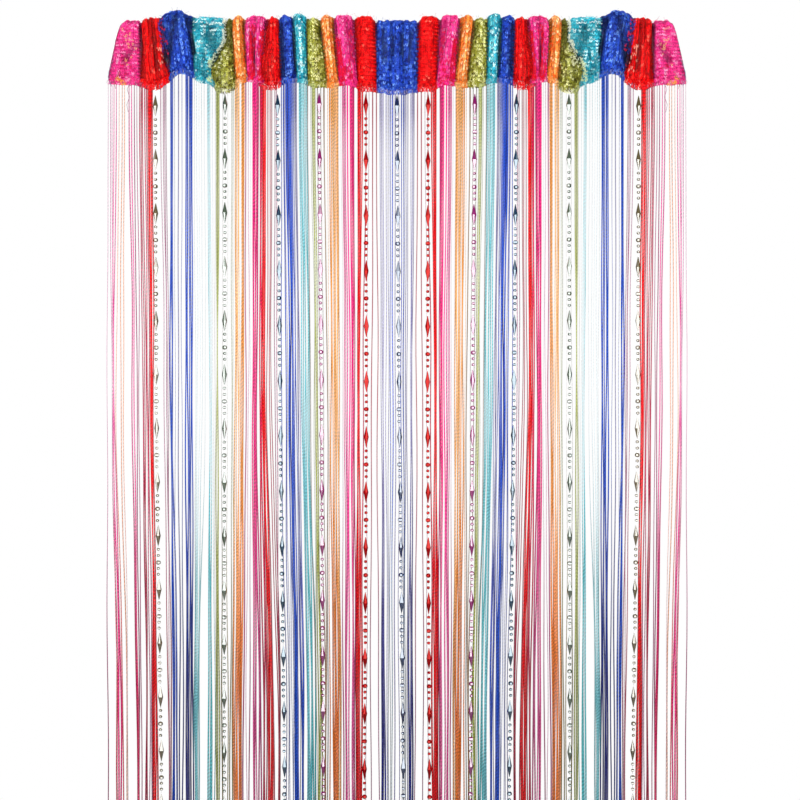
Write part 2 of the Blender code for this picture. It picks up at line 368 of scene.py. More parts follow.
def makeStringYarn(name):
    # twisted yarn: its plies show as slanting stripes that follow the string, with painted shade in the
    # grooves between the plies
    material, tree, shader = newMaterial(name)
    dye = addNode(tree, "ShaderNodeAttribute", attribute_name="dye").outputs["Color"]
    turns = addNode(tree, "ShaderNodeAttribute", attribute_name="turns").outputs["Fac"]
    around = addNode(tree, "ShaderNodeAttribute", attribute_name="around").outputs["Vector"]
    turn = mathNode(tree, "MULTIPLY", turns, 2 * math.pi)
    cosine, sine = mathNode(tree, "COSINE", turn), mathNode(tree, "SINE", turn)
    facing = addNode(tree, "ShaderNodeCombineXYZ", {0: cosine, 1: sine}).outputs[0]
    ply = addNode(tree, "ShaderNodeVectorMath", {0: around, 1: facing}, operation="DOT_PRODUCT")
    ply = rangeNode(tree, ply.outputs["Value"], -1.0, 1.0, 0.0, 1.0)
    place = addNode(tree, "ShaderNodeTexCoord").outputs["Object"]
    drawn = addNode(tree, "ShaderNodeMapping", {"Vector": place, "Scale": yarnLook["fadeScale"]}).outputs[0]
    fade = rangeNode(tree, noiseNode(tree, drawn, 1.0, 2.0), *yarnLook["fadeSpan"], 0.0, yarnLook["fade"])
    # painted shade: the dye darkened in the grooves between the plies
    deep = scaleNode(tree, dye, yarnLook["plyGrooveShade"])
    worn = mixNode(tree, fade, mixNode(tree, ply, deep, dye), yarnLook["faded"])
    tree.links.new(worn, shader.inputs["Base Color"])
    shader.inputs["Roughness"].default_value = yarnLook["roughness"]
    shader.inputs["Sheen Weight"].default_value = yarnLook["sheen"]
    shader.inputs["Sheen Roughness"].default_value = yarnLook["sheenRoughness"]
    shader.inputs["Specular IOR Level"].default_value = yarnLook["specular"]
    return material


knitLook = {
    "fibreScale": 900.0,
    "roughness": 0.42,
    "sheen": 0.20,
    "sheenRoughness": 0.35,
    "specular": 0.10,
    "bump": 0.00018,
    "bumpStrength": 0.7,
    "uneven": (0.32, 0.68, 0.62, 1.28),
}


def makeKnitYarn(name, sheen, tint):
    # soft, shiny filament yarn of the knitted heading, dyed stitch by stitch
    material, tree, shader = newMaterial(name)
    dye = addNode(tree, "ShaderNodeAttribute", attribute_name="dye").outputs["Color"]
    place = addNode(tree, "ShaderNodeTexCoord").outputs["Object"]
    fibre = noiseNode(tree, place, knitLook["fibreScale"], 3.0)
    uneven = rangeNode(tree, fibre, *knitLook["uneven"])
    tree.links.new(scaleNode(tree, dye, uneven), shader.inputs["Base Color"])
    bump = addNode(tree, "ShaderNodeBump", {
        "Height": fibre, "Distance": knitLook["bump"], "Strength": knitLook["bumpStrength"],
    })
    tree.links.new(bump.outputs[0], shader.inputs["Normal"])
    shader.inputs["Roughness"].default_value = knitLook["roughness"]
    shader.inputs["Sheen Weight"].default_value = sheen
    shader.inputs["Sheen Tint"].default_value = (*linear(*tint), 1)
    shader.inputs["Sheen Roughness"].default_value = knitLook["sheenRoughness"]
    shader.inputs["Specular IOR Level"].default_value = knitLook["specular"]
    return material


stringYarns = {colour: makeStringYarn(f"string_yarn_{colour}") for colour in dyes}
knitYarns = {colour: makeKnitYarn(f"knit_yarn_{colour}", knitLook["sheen"], dye["knit"][2])
             for colour, dye in dyes.items()}
groundYarn = makeKnitYarn("knit_ground", 0.0, (255, 255, 255))
print("yarn materials ready")


knit = {
    "walePitch": 2.6,
    "coursePitch": 2.3,
    "waleRow": 9,
    "stitchWidth": 2.25,
    "stitchHeight": 2.7,
    "yarnRadius": 0.48,
    "lift": 0.4,
    "sides": 3,
    "interlock": 1.4,
    "seed": 11,
    "valleyShade": 0.28,
    "valleyWide": 0.6,
    # how much deeper the painted shade of the creases is made
    "creaseShadePower": 1.7,
    # how dark the ground is dyed, as painted shade in the gaps between the stitches
    "groundShade": 0.42,
    "pleatShade": 0.16,
    "shadeSpan": (0.12, 1.6),
    "lightShare": 0.16,
    "dyeSpread": (0.9, 1.1),
    "sizeSpread": (0.86, 1.16),
    "waleShift": 0.06,
    "courseShift": 0.07,
    # where on a ridge the pale stitches of the painted highlight begin
    "sparkEdge": (0.35, 1.0),
    "middleColumns": 60,
}

# How the stitches lie in each colour of the left half, from the outer edge to the middle.
# wide, tall: stretch of a stitch; mess: how far it turns, in degrees
# deep, spark: share of the darker yarn, and of the pale stitches painted as a highlight on the ridges
# rows, ribs: how strongly the courses and the wales alternate lighter and darker, as painted light and shade
# of the ribs
stitchColumns = "wide tall mess deep spark rows ribs".split()
stitchStyles = [
    (1.15, 0.85, 12, 0.10, 0.07, 0.18, 0.06),
    (0.85, 1.25, 6, 0.20, 0.02, 0.00, 0.24),
    (1.00, 1.10, 10, 0.24, 0.05, 0.10, 0.20),
    (1.20, 0.85, 8, 0.14, 0.14, 0.22, 0.00),
    (1.05, 1.05, 40, 0.34, 0.20, 0.00, 0.10),
    (0.90, 1.20, 10, 0.16, 0.14, 0.00, 0.20),
    (0.95, 1.15, 10, 0.16, 0.08, 0.18, 0.00),
    (0.85, 1.25, 6, 0.22, 0.02, 0.00, 0.24),
    (1.00, 1.00, 16, 0.26, 0.05, 0.16, 0.08),
    (1.00, 1.10, 12, 0.22, 0.12, 0.10, 0.16),
    (1.00, 1.10, 26, 0.18, 0.26, 0.10, 0.10),
    (0.90, 1.20, 10, 0.16, 0.14, 0.00, 0.20),
    (0.90, 1.20, 8, 0.14, 0.04, 0.08, 0.16),
    (1.20, 0.85, 8, 0.12, 0.02, 0.15, 0.06),
    (1.00, 1.10, 12, 0.24, 0.03, 0.08, 0.16),
]
stitchStyles += stitchStyles[-2::-1]

# Creases and ridges pressed into the front of the left half, in the order of the colours:
# from (x, z) to (x, z), half width, height, and the painted shade (below 0) and painted light (above 0) dyed
# into the yarn there.
creases = [
    ((-328, -7), (-309, -10), 3.4, 0.6, -0.24),
    ((-326, -15), (-311, -15), 1.8, 0.8, 0.22),
    ((-312, -38), (-325, -56), 3.8, -3.2, -0.36),
    ((-311, -30), (-316, -70), 3.2, 1.8, 0.18),
    ((-301, -11), (-293, -71), 3.6, 2.6, 0.26),
    ((-305, -5), (-305, -79), 2.8, -2.0, -0.42),
    ((-294, -6), (-287, -64), 3.2, -2.4, -0.40),
    ((-284, -40), (-282, -78), 3.2, 1.4, 0.14),
    ((-295, -74), (-287, -88), 4.0, 1.0, 0.16),
    ((-263, -6), (-275, -54), 5.4, -3.0, -0.60),
    ((-279, -18), (-277, -64), 3.0, -1.0, -0.16),
    ((-256, -10), (-254, -62), 5.0, 2.6, 0.30),
    ((-250, -8), (-242, -46), 2.8, -2.2, -0.44),
    ((-251, 0), (-248, -12), 3.6, -2.4, -0.40),
    ((-268, -56), (-250, -56), 4.0, 0.6, 0.16),
    ((-240, -22), (-233, -63), 2.2, 2.2, 0.50),
    ((-228, -34), (-225, -54), 1.9, 1.8, 0.40),
    ((-222, -26), (-217, -52), 6.5, -2.0, -0.34),
    ((-226, -14), (-220, -18), 2.6, -1.4, -0.30),
    ((-236, -54), (-230, -76), 5.5, 0.0, -0.30),
    ((-240, -5), (-210, -8), 5.5, 0.0, 0.34),
    ((-201, -3), (-200, -40), 3.4, 0.0, -0.48),
    ((-212, -58), (-213, -84), 3.0, -1.0, -0.28),
    ((-204, -62), (-203, -92), 4.0, 1.0, 0.24),
    ((-191, -5), (-189, -76), 2.6, 2.2, 0.34),
    ((-184, -10), (-182, -56), 2.2, -1.0, -0.34),
    ((-177, -14), (-174, -70), 2.4, 2.0, 0.20),
    ((-172, -24), (-170, -72), 2.4, -2.0, -0.46),
    ((-163, 2), (-167, -69), 2.6, 2.6, 0.22),
    ((-156, -10), (-155, -84), 4.0, -1.4, -0.18),
    ((-144, -10), (-146, -82), 3.2, 1.6, 0.22),
    ((-138, -14), (-136, -72), 3.4, -1.6, -0.56),
    ((-131, -8), (-128, -74), 2.6, 2.2, 0.34),
    ((-124, -24), (-121, -76), 2.2, -1.4, -0.40),
    ((-115, -2), (-115, -76), 3.8, 2.0, 0.38),
    ((-103, -12), (-102, -84), 2.8, 0.8, 0.20),
    ((-94, -18), (-91, -30), 3.4, -1.2, -0.30),
    ((-99, -50), (-98, -86), 3.4, 1.2, 0.24),
    ((-86, -1), (-78, -65), 2.4, 2.4, 0.36),
    ((-76, -14), (-71, -60), 2.2, -1.2, -0.30),
    ((-70, -4), (-57, -74), 3.0, 2.4, 0.24),
    ((-58, -12), (-53, -54), 4.0, -1.8, -0.26),
    ((-67, -36), (-62, -78), 3.0, -1.4, -0.14),
    ((-45, -10), (-44, -50), 2.4, -1.2, -0.10),
    ((-37, -4), (-37, -80), 10.0, 0.0, 0.20),
    ((-17, -22), (-15, -54), 3.0, -3.0, -0.56),
    ((-5.4, -27), (-5.4, -48), 2.2, -2.4, -0.44),
    ((-11, -4), (-11, -56), 1.8, 2.4, 0.34),
    ((0, -12), (0, -56), 1.8, 0.8, 0.20),
    ((-14, -72), (0, -76), 8.0, 0.0, 0.24),
]
creases += [((-x1, z1), (-x2, z2), width, height, tone)
            for (x1, z1), (x2, z2), width, height, tone in creases if x1 or x2]

# Stitches in another yarn, and near-black stitches as painted shade, in the left half: the colour that they
# lie in, from (x, z) to (x, z), reach, share of the stitches, how far apart they stand in rows (0 for no
# rows), and their dye.
accents = [
    ("pink", (-322, -20), (-315, -40), 5.0, 0.22, 0.0, (250, 190, 150)),
    ("pink", (-318, -44), (-326, -58), 5.0, 0.12, 0.0, (250, 176, 130)),
    ("pink", (-334, -78), (-326, -84), 4.0, 0.60, 0.0, (250, 160, 86)),
    ("pink", (-330, -60), (-312, -64), 1.6, 0.40, 0.0, (214, 14, 72)),
    ("pink", (-326, -70), (-312, -74), 1.6, 0.40, 0.0, (214, 14, 72)),
    ("red", (-285, -40), (-281, -66), 3.6, 0.14, 0.0, (250, 170, 150)),
    ("red", (-281, -6), (-276, -44), 4.4, 0.95, 4.6, (44, 70, 176)),
    ("blue", (-279, -8), (-274, -44), 2.6, 0.20, 0.0, (222, 34, 60)),
    ("teal", (-205, -2), (-204, -30), 3.2, 0.88, 0.0, (244, 246, 226)),
    ("teal", (-204, -30), (-212, -46), 3.4, 0.86, 0.0, (244, 246, 220)),
    ("teal", (-212, -46), (-221, -60), 4.6, 0.82, 0.0, (236, 242, 206)),
    ("teal", (-221, -58), (-224, -76), 4.6, 0.62, 0.0, (222, 232, 176)),
    ("olive", (-206, -40), (-214, -62), 4.0, 0.30, 0.0, (236, 236, 190)),
    # painted shade: near-black teal stitches in the dark hole between the teal ridges
    ("teal", (-228, -14), (-222, -19), 1.8, 0.45, 0.0, (6, 52, 70)),
    ("teal", (-243, -10), (-214, -12), 1.5, 0.45, 0.0, (226, 248, 246)),
    ("teal", (-241, -20), (-212, -21), 1.5, 0.40, 0.0, (226, 248, 246)),
    ("orange", (-184, -24), (-182, -62), 2.2, 0.40, 0.0, (226, 74, 26)),
    ("orange", (-74, -8), (-74, -26), 2.4, 0.60, 0.0, (122, 70, 44)),
    ("pink", (-172, -18), (-174, -74), 4.0, 0.85, 0.0, (226, 14, 46)),
    ("pink", (-158, -24), (-163, -74), 4.4, 0.90, 0.0, (228, 16, 38)),
    ("pink", (-71, -34), (-66, -82), 4.6, 0.88, 0.0, (230, 16, 60)),
    ("pink", (-56, -20), (-52, -56), 2.8, 0.50, 0.0, (222, 20, 74)),
    ("pink", (-60, -56), (-55, -82), 4.0, 0.45, 0.0, (226, 14, 66)),
]
accents += [(on, (-x1, z1), (-x2, z2), reach, share, apart, tone)
            for on, (x1, z1), (x2, z2), reach, share, apart, tone in accents]

# Where the line between two colours bows sideways on the left half: which line, at what height,
# how far, and over what height.
bows = [
    (1, -30.0, 1.6, 16.0),
    (4, -31.0, 5.4, 12.0),
    (4, -64.0, -6.2, 14.0),
    (7, -60.0, -4.0, 20.0),
]

# Small pleats drawn up by the gathering, the same on both sides of the middle.
pleats = {
    "seed": 5,
    "count": 5,
    "longest": 19.0,
    "shortest": 6.5,
    "height": 0.8,
    "slant": 0.08,
    "least": 0.25,
    "fadeFrom": -8.0,
    "fadeTo": -60.0,
}


def makeRing(station, normalX, normalY):
    # seven points round the pocket at each station, from the front of the foot to its back
    def beside(half):
        x, y = station["footX"] + normalX * half, station["footY"] + normalY * half
        return np.stack([x, y, station["edge"]], 1)

    def around(z, half, share):
        z = z + 0 * station["edge"]
        part = (z - station["edge"]) / (station["crest"] - station["edge"])
        x = station["footX"] + (station["topX"] - station["footX"]) * part
        y = station["footY"] + (station["topY"] - station["footY"]) * part
        return np.stack([x, heading["valleyY"] + (y - heading["valleyY"]) * share - half, z], 1)

    belly = heading["pocketHalf"]
    shoulder = station["crest"] - heading["shoulderDrop"]
    shoulderHalf = belly * heading["shoulderPart"]
    back = heading["backShare"]
    return np.stack([
        beside(heading["footHalf"]),
        around(heading["rodLevel"], belly, 1.0),
        around(shoulder, shoulderHalf, 1.0),
        around(station["crest"], 0.0, (1 + back) / 2),
        around(shoulder, -shoulderHalf, back),
        around(heading["rodLevel"], -belly, back),
        beside(-heading["footHalf"]),
    ], 1)


def refineRing(ring):
    # more points between the seven, with the corners rounded off
    parts = []
    for k, steps in enumerate(heading["ringSteps"]):
        t = np.arange(steps)[None, :, None] / steps
        parts.append(ring[:, k, None] * (1 - t) + ring[:, k + 1, None] * t)
    fine = np.concatenate([*parts, ring[:, -1:]], 1)
    return smooth(fine.swapaxes(0, 1), heading["ringSmoothing"]).swapaxes(0, 1)


def surfaceNormals(grid):
    across = np.gradient(grid, axis=0)
    upward = np.gradient(grid, axis=1)
    normals = np.cross(across, upward)
    return normals / np.linalg.norm(normals, axis=2, keepdims=True)


def softStep(low, high, value):
    t = np.clip((value - low) / (high - low), 0, 1)
    return t * t * (3 - 2 * t)


def awayFrom(x, z, first, last):
    # distance from a line between two places on the front
    (x1, z1), (x2, z2) = first, last
    lengthSquared = (x2 - x1) ** 2 + (z2 - z1) ** 2
    t = np.clip(((x - x1) * (x2 - x1) + (z - z1) * (z2 - z1)) / lengthSquared, 0, 1)
    return np.hypot(x - x1 - t * (x2 - x1), z - z1 - t * (z2 - z1))


def pressCreases(x, z, onFront):
    # height of the creases, and the painted light and shade that they dye into the yarn
    total, tones = np.zeros_like(x), np.ones_like(x)
    for first, last, width, height, tone in creases:
        part = np.exp(-((awayFrom(x, z, first, last) / width) ** 2)) * onFront
        total += height * part
        tones *= 1 + tone * part
    return total, np.where(tones < 1, tones ** knit["creaseShadePower"], tones)


def bowedBy(places, z):
    # how far the places move sideways where their colours' edge bows
    total = np.zeros_like(z)
    for line, level, away, tall in bows:
        high = away * np.exp(-(((z - level) / tall) ** 2))
        total += high * np.exp(-(((places - line) / heading["bowReach"]) ** 2))
        total -= high * np.exp(-(((foldCount - places - line) / heading["bowReach"]) ** 2))
    return total


def pleatHeight(length, z):
    rng = np.random.default_rng(pleats["seed"])
    total = np.zeros_like(z)
    for wave in np.linspace(pleats["shortest"], pleats["longest"], pleats["count"]):
        phase, slant = rng.uniform(0, 2 * math.pi), rng.uniform(-pleats["slant"], pleats["slant"])
        total += np.sin(2 * math.pi * length / wave + phase + slant * z) / pleats["count"] ** 0.5
    fade = softStep(pleats["fadeTo"], pleats["fadeFrom"], z)
    return total * pleats["height"] * (pleats["least"] + (1 - pleats["least"]) * fade)


# stations evenly apart along the cloth
dense = np.linspace(0, foldCount, heading["densePoints"])
denseStation = stationsAt(dense)
denseLength = pathLength(denseStation["footX"], denseStation["footY"]) \
    + pathLength(denseStation["topX"], denseStation["topY"])
places = np.interp(np.linspace(0, denseLength[-1], heading["columns"] + 1), denseLength, dense)
station = stationsAt(places)
normalX, normalY = pathNormals(station["footX"], station["footY"])
normalX, normalY = smooth(normalX, heading["normalSmoothing"]), smooth(normalY, heading["normalSmoothing"])
skin = refineRing(makeRing(station, normalX, normalY))
frontRows = sum(heading["ringSteps"][:3])
rowIndex = np.arange(skin.shape[1])
onFront = np.clip((frontRows - rowIndex) / heading["fadeRows"], 0, 1)[None, :]
skin[:, :, 0] += bowedBy(places[:, None], skin[:, :, 2]) * onFront
skinNormal = surfaceNormals(skin)
clothLength = pathLength(skin[:, knit["waleRow"], 0], skin[:, knit["waleRow"], 1])
creaseGrid, creaseShading = pressCreases(skin[:, :, 0], skin[:, :, 2], onFront)
pleatGrid = pleatHeight(np.abs(clothLength - clothLength[-1] / 2)[:, None], skin[:, :, 2])
offset = creaseGrid + pleatGrid
# painted light and shade of the creases and the pleats, dyed into the yarn
shade = np.clip(creaseShading * (1 + knit["pleatShade"] * pleatGrid), *knit["shadeSpan"])[:, :, None]
footFade = np.clip(np.minimum(rowIndex, rowIndex[::-1]) / heading["fadeRows"], 0, 1)[None, :]
skin = skin + skinNormal * (offset * footFade)[:, :, None]
skinNormal = surfaceNormals(skin)
print("heading surface:", skin.shape, "cloth", round(float(clothLength[-1]), 1), "mm")


def sampleGrid(grid, column, row):
    # values between the grid's points
    c = np.clip(column, 0, grid.shape[0] - 1.001)
    r = np.clip(row, 0, grid.shape[1] - 1.001)
    c0, r0 = c.astype(int), r.astype(int)
    cf, rf = (c - c0)[:, None], (r - r0)[:, None]
    return (grid[c0, r0] * (1 - cf) * (1 - rf) + grid[c0 + 1, r0] * cf * (1 - rf)
            + grid[c0, r0 + 1] * (1 - cf) * rf + grid[c0 + 1, r0 + 1] * cf * rf)


def knitDye(runs, out, shades, rng, darker=1.0):
    # one dye for each stitch, with painted shade towards the valleys, the creases' and ribs' painted light
    # and shade, and pale stitches painted as highlights along the ridges
    colours = np.empty((len(runs), 3))
    shades = np.broadcast_to(shades, len(runs))
    # painted highlight: more pale stitches on the ridges and where the painted light of the creases is
    # strong
    highlightPart = softStep(*knit["sparkEdge"], out) * shades ** 2
    for i in range(foldCount):
        chosen = np.flatnonzero(runs == i)
        style = dict(zip(stitchColumns, stitchStyles[i]))
        family = np.array([linear(*tone) for tone in dyes[fold["colour"][i]]["knit"]])
        own = 1 - knit["lightShare"] - style["deep"]
        kind = rng.choice(3, size=len(chosen), p=(own, style["deep"], knit["lightShare"]))
        kind[rng.uniform(size=len(chosen)) < style["spark"] * highlightPart[chosen]] = 3
        colours[chosen] = family[kind]
    # painted shade: the dye darkens towards the valleys between the ridges
    light = knit["valleyShade"] + (1 - knit["valleyShade"]) * softStep(0.0, knit["valleyWide"], out)
    return colours * (light * shades * rng.uniform(*knit["dyeSpread"], len(runs)) * darker)[:, None]


def addAccents(dye, points, runs, rng):
    for on, first, last, reach, share, apart, tone in accents:
        near = (awayFrom(points[:, 0], points[:, 2], first, last) < reach) & (fold["colour"][runs] == on)
        if apart:
            near &= points[:, 2] % apart < 0.5 * apart
        chosen = near & (points[:, 1] < 0) & (rng.uniform(size=len(points)) < share)
        dye[chosen] = linear(*tone)


def gridFaces(columns, rows, start, flipped):
    c, r = np.meshgrid(np.arange(columns - 1), np.arange(rows), indexing="ij")
    a = start + c * rows + r
    b = start + c * rows + (r + 1) % rows
    faces = np.stack([a, a + rows, b + rows, b], -1).reshape(-1, 4)
    return faces[:, ::-1] if flipped else faces


def makeGround():
    # the closed sheet that carries the stitches: outer and inner face, joined round both ends
    columns, rows = skin.shape[:2]
    inner = skin - skinNormal * heading["wall"]
    points = np.concatenate([skin.reshape(-1, 3), inner.reshape(-1, 3)])
    start = columns * rows
    faces = [gridFaces(columns, rows, 0, False), gridFaces(columns, rows, start, True)]
    r = np.arange(rows)
    after = (r + 1) % rows
    for end, flipped in ((0, True), (start - rows, False)):
        quad = np.stack([end + r, start + end + r, start + end + after, end + after], -1)
        faces.append(quad[:, ::-1] if flipped else quad)
    rng = np.random.default_rng(knit["seed"])
    run = np.repeat(station["run"], rows)
    out = np.repeat(station["out"], rows)
    # the ground's dye is the stitches' dye darkened, as painted shade seen through the gaps between the
    # stitches
    dye = np.tile(knitDye(run, out, shade.ravel(), rng, knit["groundShade"]), (2, 1))
    mesh = makeMesh("heading_ground", points, faces=np.concatenate(faces),
                    values=[("dye", "FLOAT_COLOR", withAlpha(dye))])
    mesh.shade_smooth()
    mesh.materials.append(groundYarn)
    return linkObject("heading_ground", mesh)


def stitchTree():
    tree, given = newTree("knitStitch", [
        ("Width", "Float"), ("Height", "Float"), ("Yarn radius", "Float"), ("Lift", "Float"),
        ("Sides", "Int"), ("Material", "Material"),
    ])
    get = given.outputs
    right = mathNode(tree, "MULTIPLY", get["Width"], 0.5)
    left = mathNode(tree, "MULTIPLY", get["Width"], -0.5)
    top = mathNode(tree, "MULTIPLY", get["Height"], 0.5)
    low = mathNode(tree, "MULTIPLY", get["Height"], -1.5)
    bulge = mathNode(tree, "MULTIPLY", get["Lift"], 2.0)
    vee = addNode(tree, "GeometryNodeCurveQuadraticBezier", {
        "Resolution": 2,
        "Start": addNode(tree, "ShaderNodeCombineXYZ", {0: left, 1: top}).outputs[0],
        "Middle": addNode(tree, "ShaderNodeCombineXYZ", {1: low, 2: bulge}).outputs[0],
        "End": addNode(tree, "ShaderNodeCombineXYZ", {0: right, 1: top}).outputs[0],
    })
    stitch = addNode(tree, "GeometryNodeCurveToMesh", {
        "Curve": vee.outputs[0], "Profile Curve": roundProfile(tree, get["Sides"], get["Yarn radius"]),
        "Fill Caps": False,
    })
    turn = addNode(tree, "FunctionNodeAxesToRotation", {
        "Primary Axis": named(tree, "out", "FLOAT_VECTOR"),
        "Secondary Axis": named(tree, "up", "FLOAT_VECTOR"),
    }, primary_axis="Z", secondary_axis="Y")
    placed = addNode(tree, "GeometryNodeInstanceOnPoints", {
        "Points": get["Geometry"], "Instance": stitch.outputs[0], "Rotation": turn.outputs[0],
        "Scale": named(tree, "grow", "FLOAT_VECTOR"),
    })
    closeTree(tree, placed.outputs[0], get["Material"])
    return tree


def turnAbout(axes, vectors, angles):
    # turn each vector about its own unit axis
    cosine, sine = np.cos(angles)[:, None], np.sin(angles)[:, None]
    along = (axes * vectors).sum(1, keepdims=True)
    return vectors * cosine + np.cross(axes, vectors) * sine + axes * along * (1 - cosine)


def growStitches(name, colour, tree, points, outward, upward, runs, dye, rng):
    # stitches at their points, each stretched and turned as its run of colour asks
    styles = np.array(stitchStyles)[runs]
    upward = turnAbout(outward, upward, np.radians(styles[:, 2]) * rng.normal(0, 1, len(points)))
    grow = np.stack([styles[:, 0], styles[:, 1], np.ones(len(points))], 1)
    grow *= rng.uniform(*knit["sizeSpread"], (len(points), 1))
    guide = makeMesh(name, points, values=[
        ("out", "FLOAT_VECTOR", outward), ("up", "FLOAT_VECTOR", upward), ("grow", "FLOAT_VECTOR", grow),
        ("dye", "FLOAT_COLOR", withAlpha(dye)),
    ])
    return runTree(name, guide, tree, {
        "Width": knit["stitchWidth"] * mm, "Height": knit["stitchHeight"] * mm,
        "Yarn radius": knit["yarnRadius"] * mm, "Lift": knit["lift"] * mm,
        "Sides": knit["sides"], "Material": knitYarns[colour],
    })


def makeStitches(tree):
    # wales run round the pocket and courses run along it
    wales = np.interp(np.arange(knit["walePitch"] / 2, clothLength[-1], knit["walePitch"]),
                      clothLength, np.arange(len(clothLength)))
    centre, reach = len(skin) // 2, knit["middleColumns"]
    middle = skin[centre - reach: centre + reach].mean(0)
    ringLength = pathLength(middle[:, 1], middle[:, 2])
    courses = np.interp(np.arange(knit["coursePitch"] / 2, ringLength[-1], knit["coursePitch"]),
                        ringLength, np.arange(len(ringLength)))
    rng = np.random.default_rng(knit["seed"])
    waleStep = (wales[-1] - wales[0]) / (len(wales) - 1)
    column = np.repeat(wales, len(courses))
    column = column + rng.normal(0, knit["waleShift"], len(column)) * waleStep
    row = np.tile(courses, len(wales)) + rng.normal(0, knit["courseShift"], len(column))
    parity = np.tile(np.arange(len(courses)) % 2, len(wales)) - 0.5
    points = sampleGrid(skin, column, row)
    outward = sampleGrid(skinNormal, column, row)
    outward /= np.linalg.norm(outward, axis=1, keepdims=True)
    upward = sampleGrid(skin, column, row + 0.5) - sampleGrid(skin, column, row - 0.5)
    shades = sampleGrid(shade, column, row)[:, 0]
    lockedColumn = np.clip(column + parity * waleStep * knit["interlock"], 0, len(places) - 1)
    s = np.interp(lockedColumn, np.arange(len(places)), places)
    here = stationsAt(np.minimum(s, foldCount - 1e-6))
    style = np.array(stitchStyles)[here["run"]]
    # painted light and shade of the ribs, course by course and wale by wale
    courseBeat = np.tile((-1.0) ** np.arange(len(courses)), len(wales))
    waleBeat = np.repeat((-1.0) ** np.arange(len(wales)), len(courses))
    shades = shades * (1 + style[:, 5] * courseBeat + style[:, 6] * waleBeat)
    dye = knitDye(here["run"], here["out"], shades, rng)
    addAccents(dye, points, here["run"], rng)
    pieces = []
    for colour in dyes:
        mine = fold["colour"][here["run"]] == colour
        chosen = (values[mine] for values in (points, outward, upward, here["run"], dye))
        pieces.append(growStitches(f"stitches_{colour}", colour, tree, *chosen, rng))
    return pieces


vStitch = stitchTree()
ground = makeGround()
stitches = makeStitches(vStitch)
print("heading knitted")


strings = {
    "endMargin": 2.5,
    "end": -2000.0,
    "half": -440.0,
    "low": -870.0,
    "leanFrom": -960.0,
    "leanBack": 0.4,
    "topFade": (4.0, 75.0),
    "fuller": 0.38,
    # factor on the dye lower down, which darkens it as painted shade
    "lowShade": 0.92,
    "settled": (30.0, 330.0),
    "steps": 48,
    "stepGrowth": 1.15,
    "sides": 4,
    "loopSteps": 8,
    "loopWidth": 3.4,
    "loopSpread": (0.85, 1.1),
    "loopHeight": 5.0,
    "loopDepth": 0.5,
    "wander": 1.1,
    "depthSpread": 1.5,
    "dyeSpread": (0.76, 1.16),
    "thickSpread": (0.80, 1.16),
    "waves": (0.31, 0.74),
    "twistPitch": (3.4, 4.8),
    "seed": 23,
}

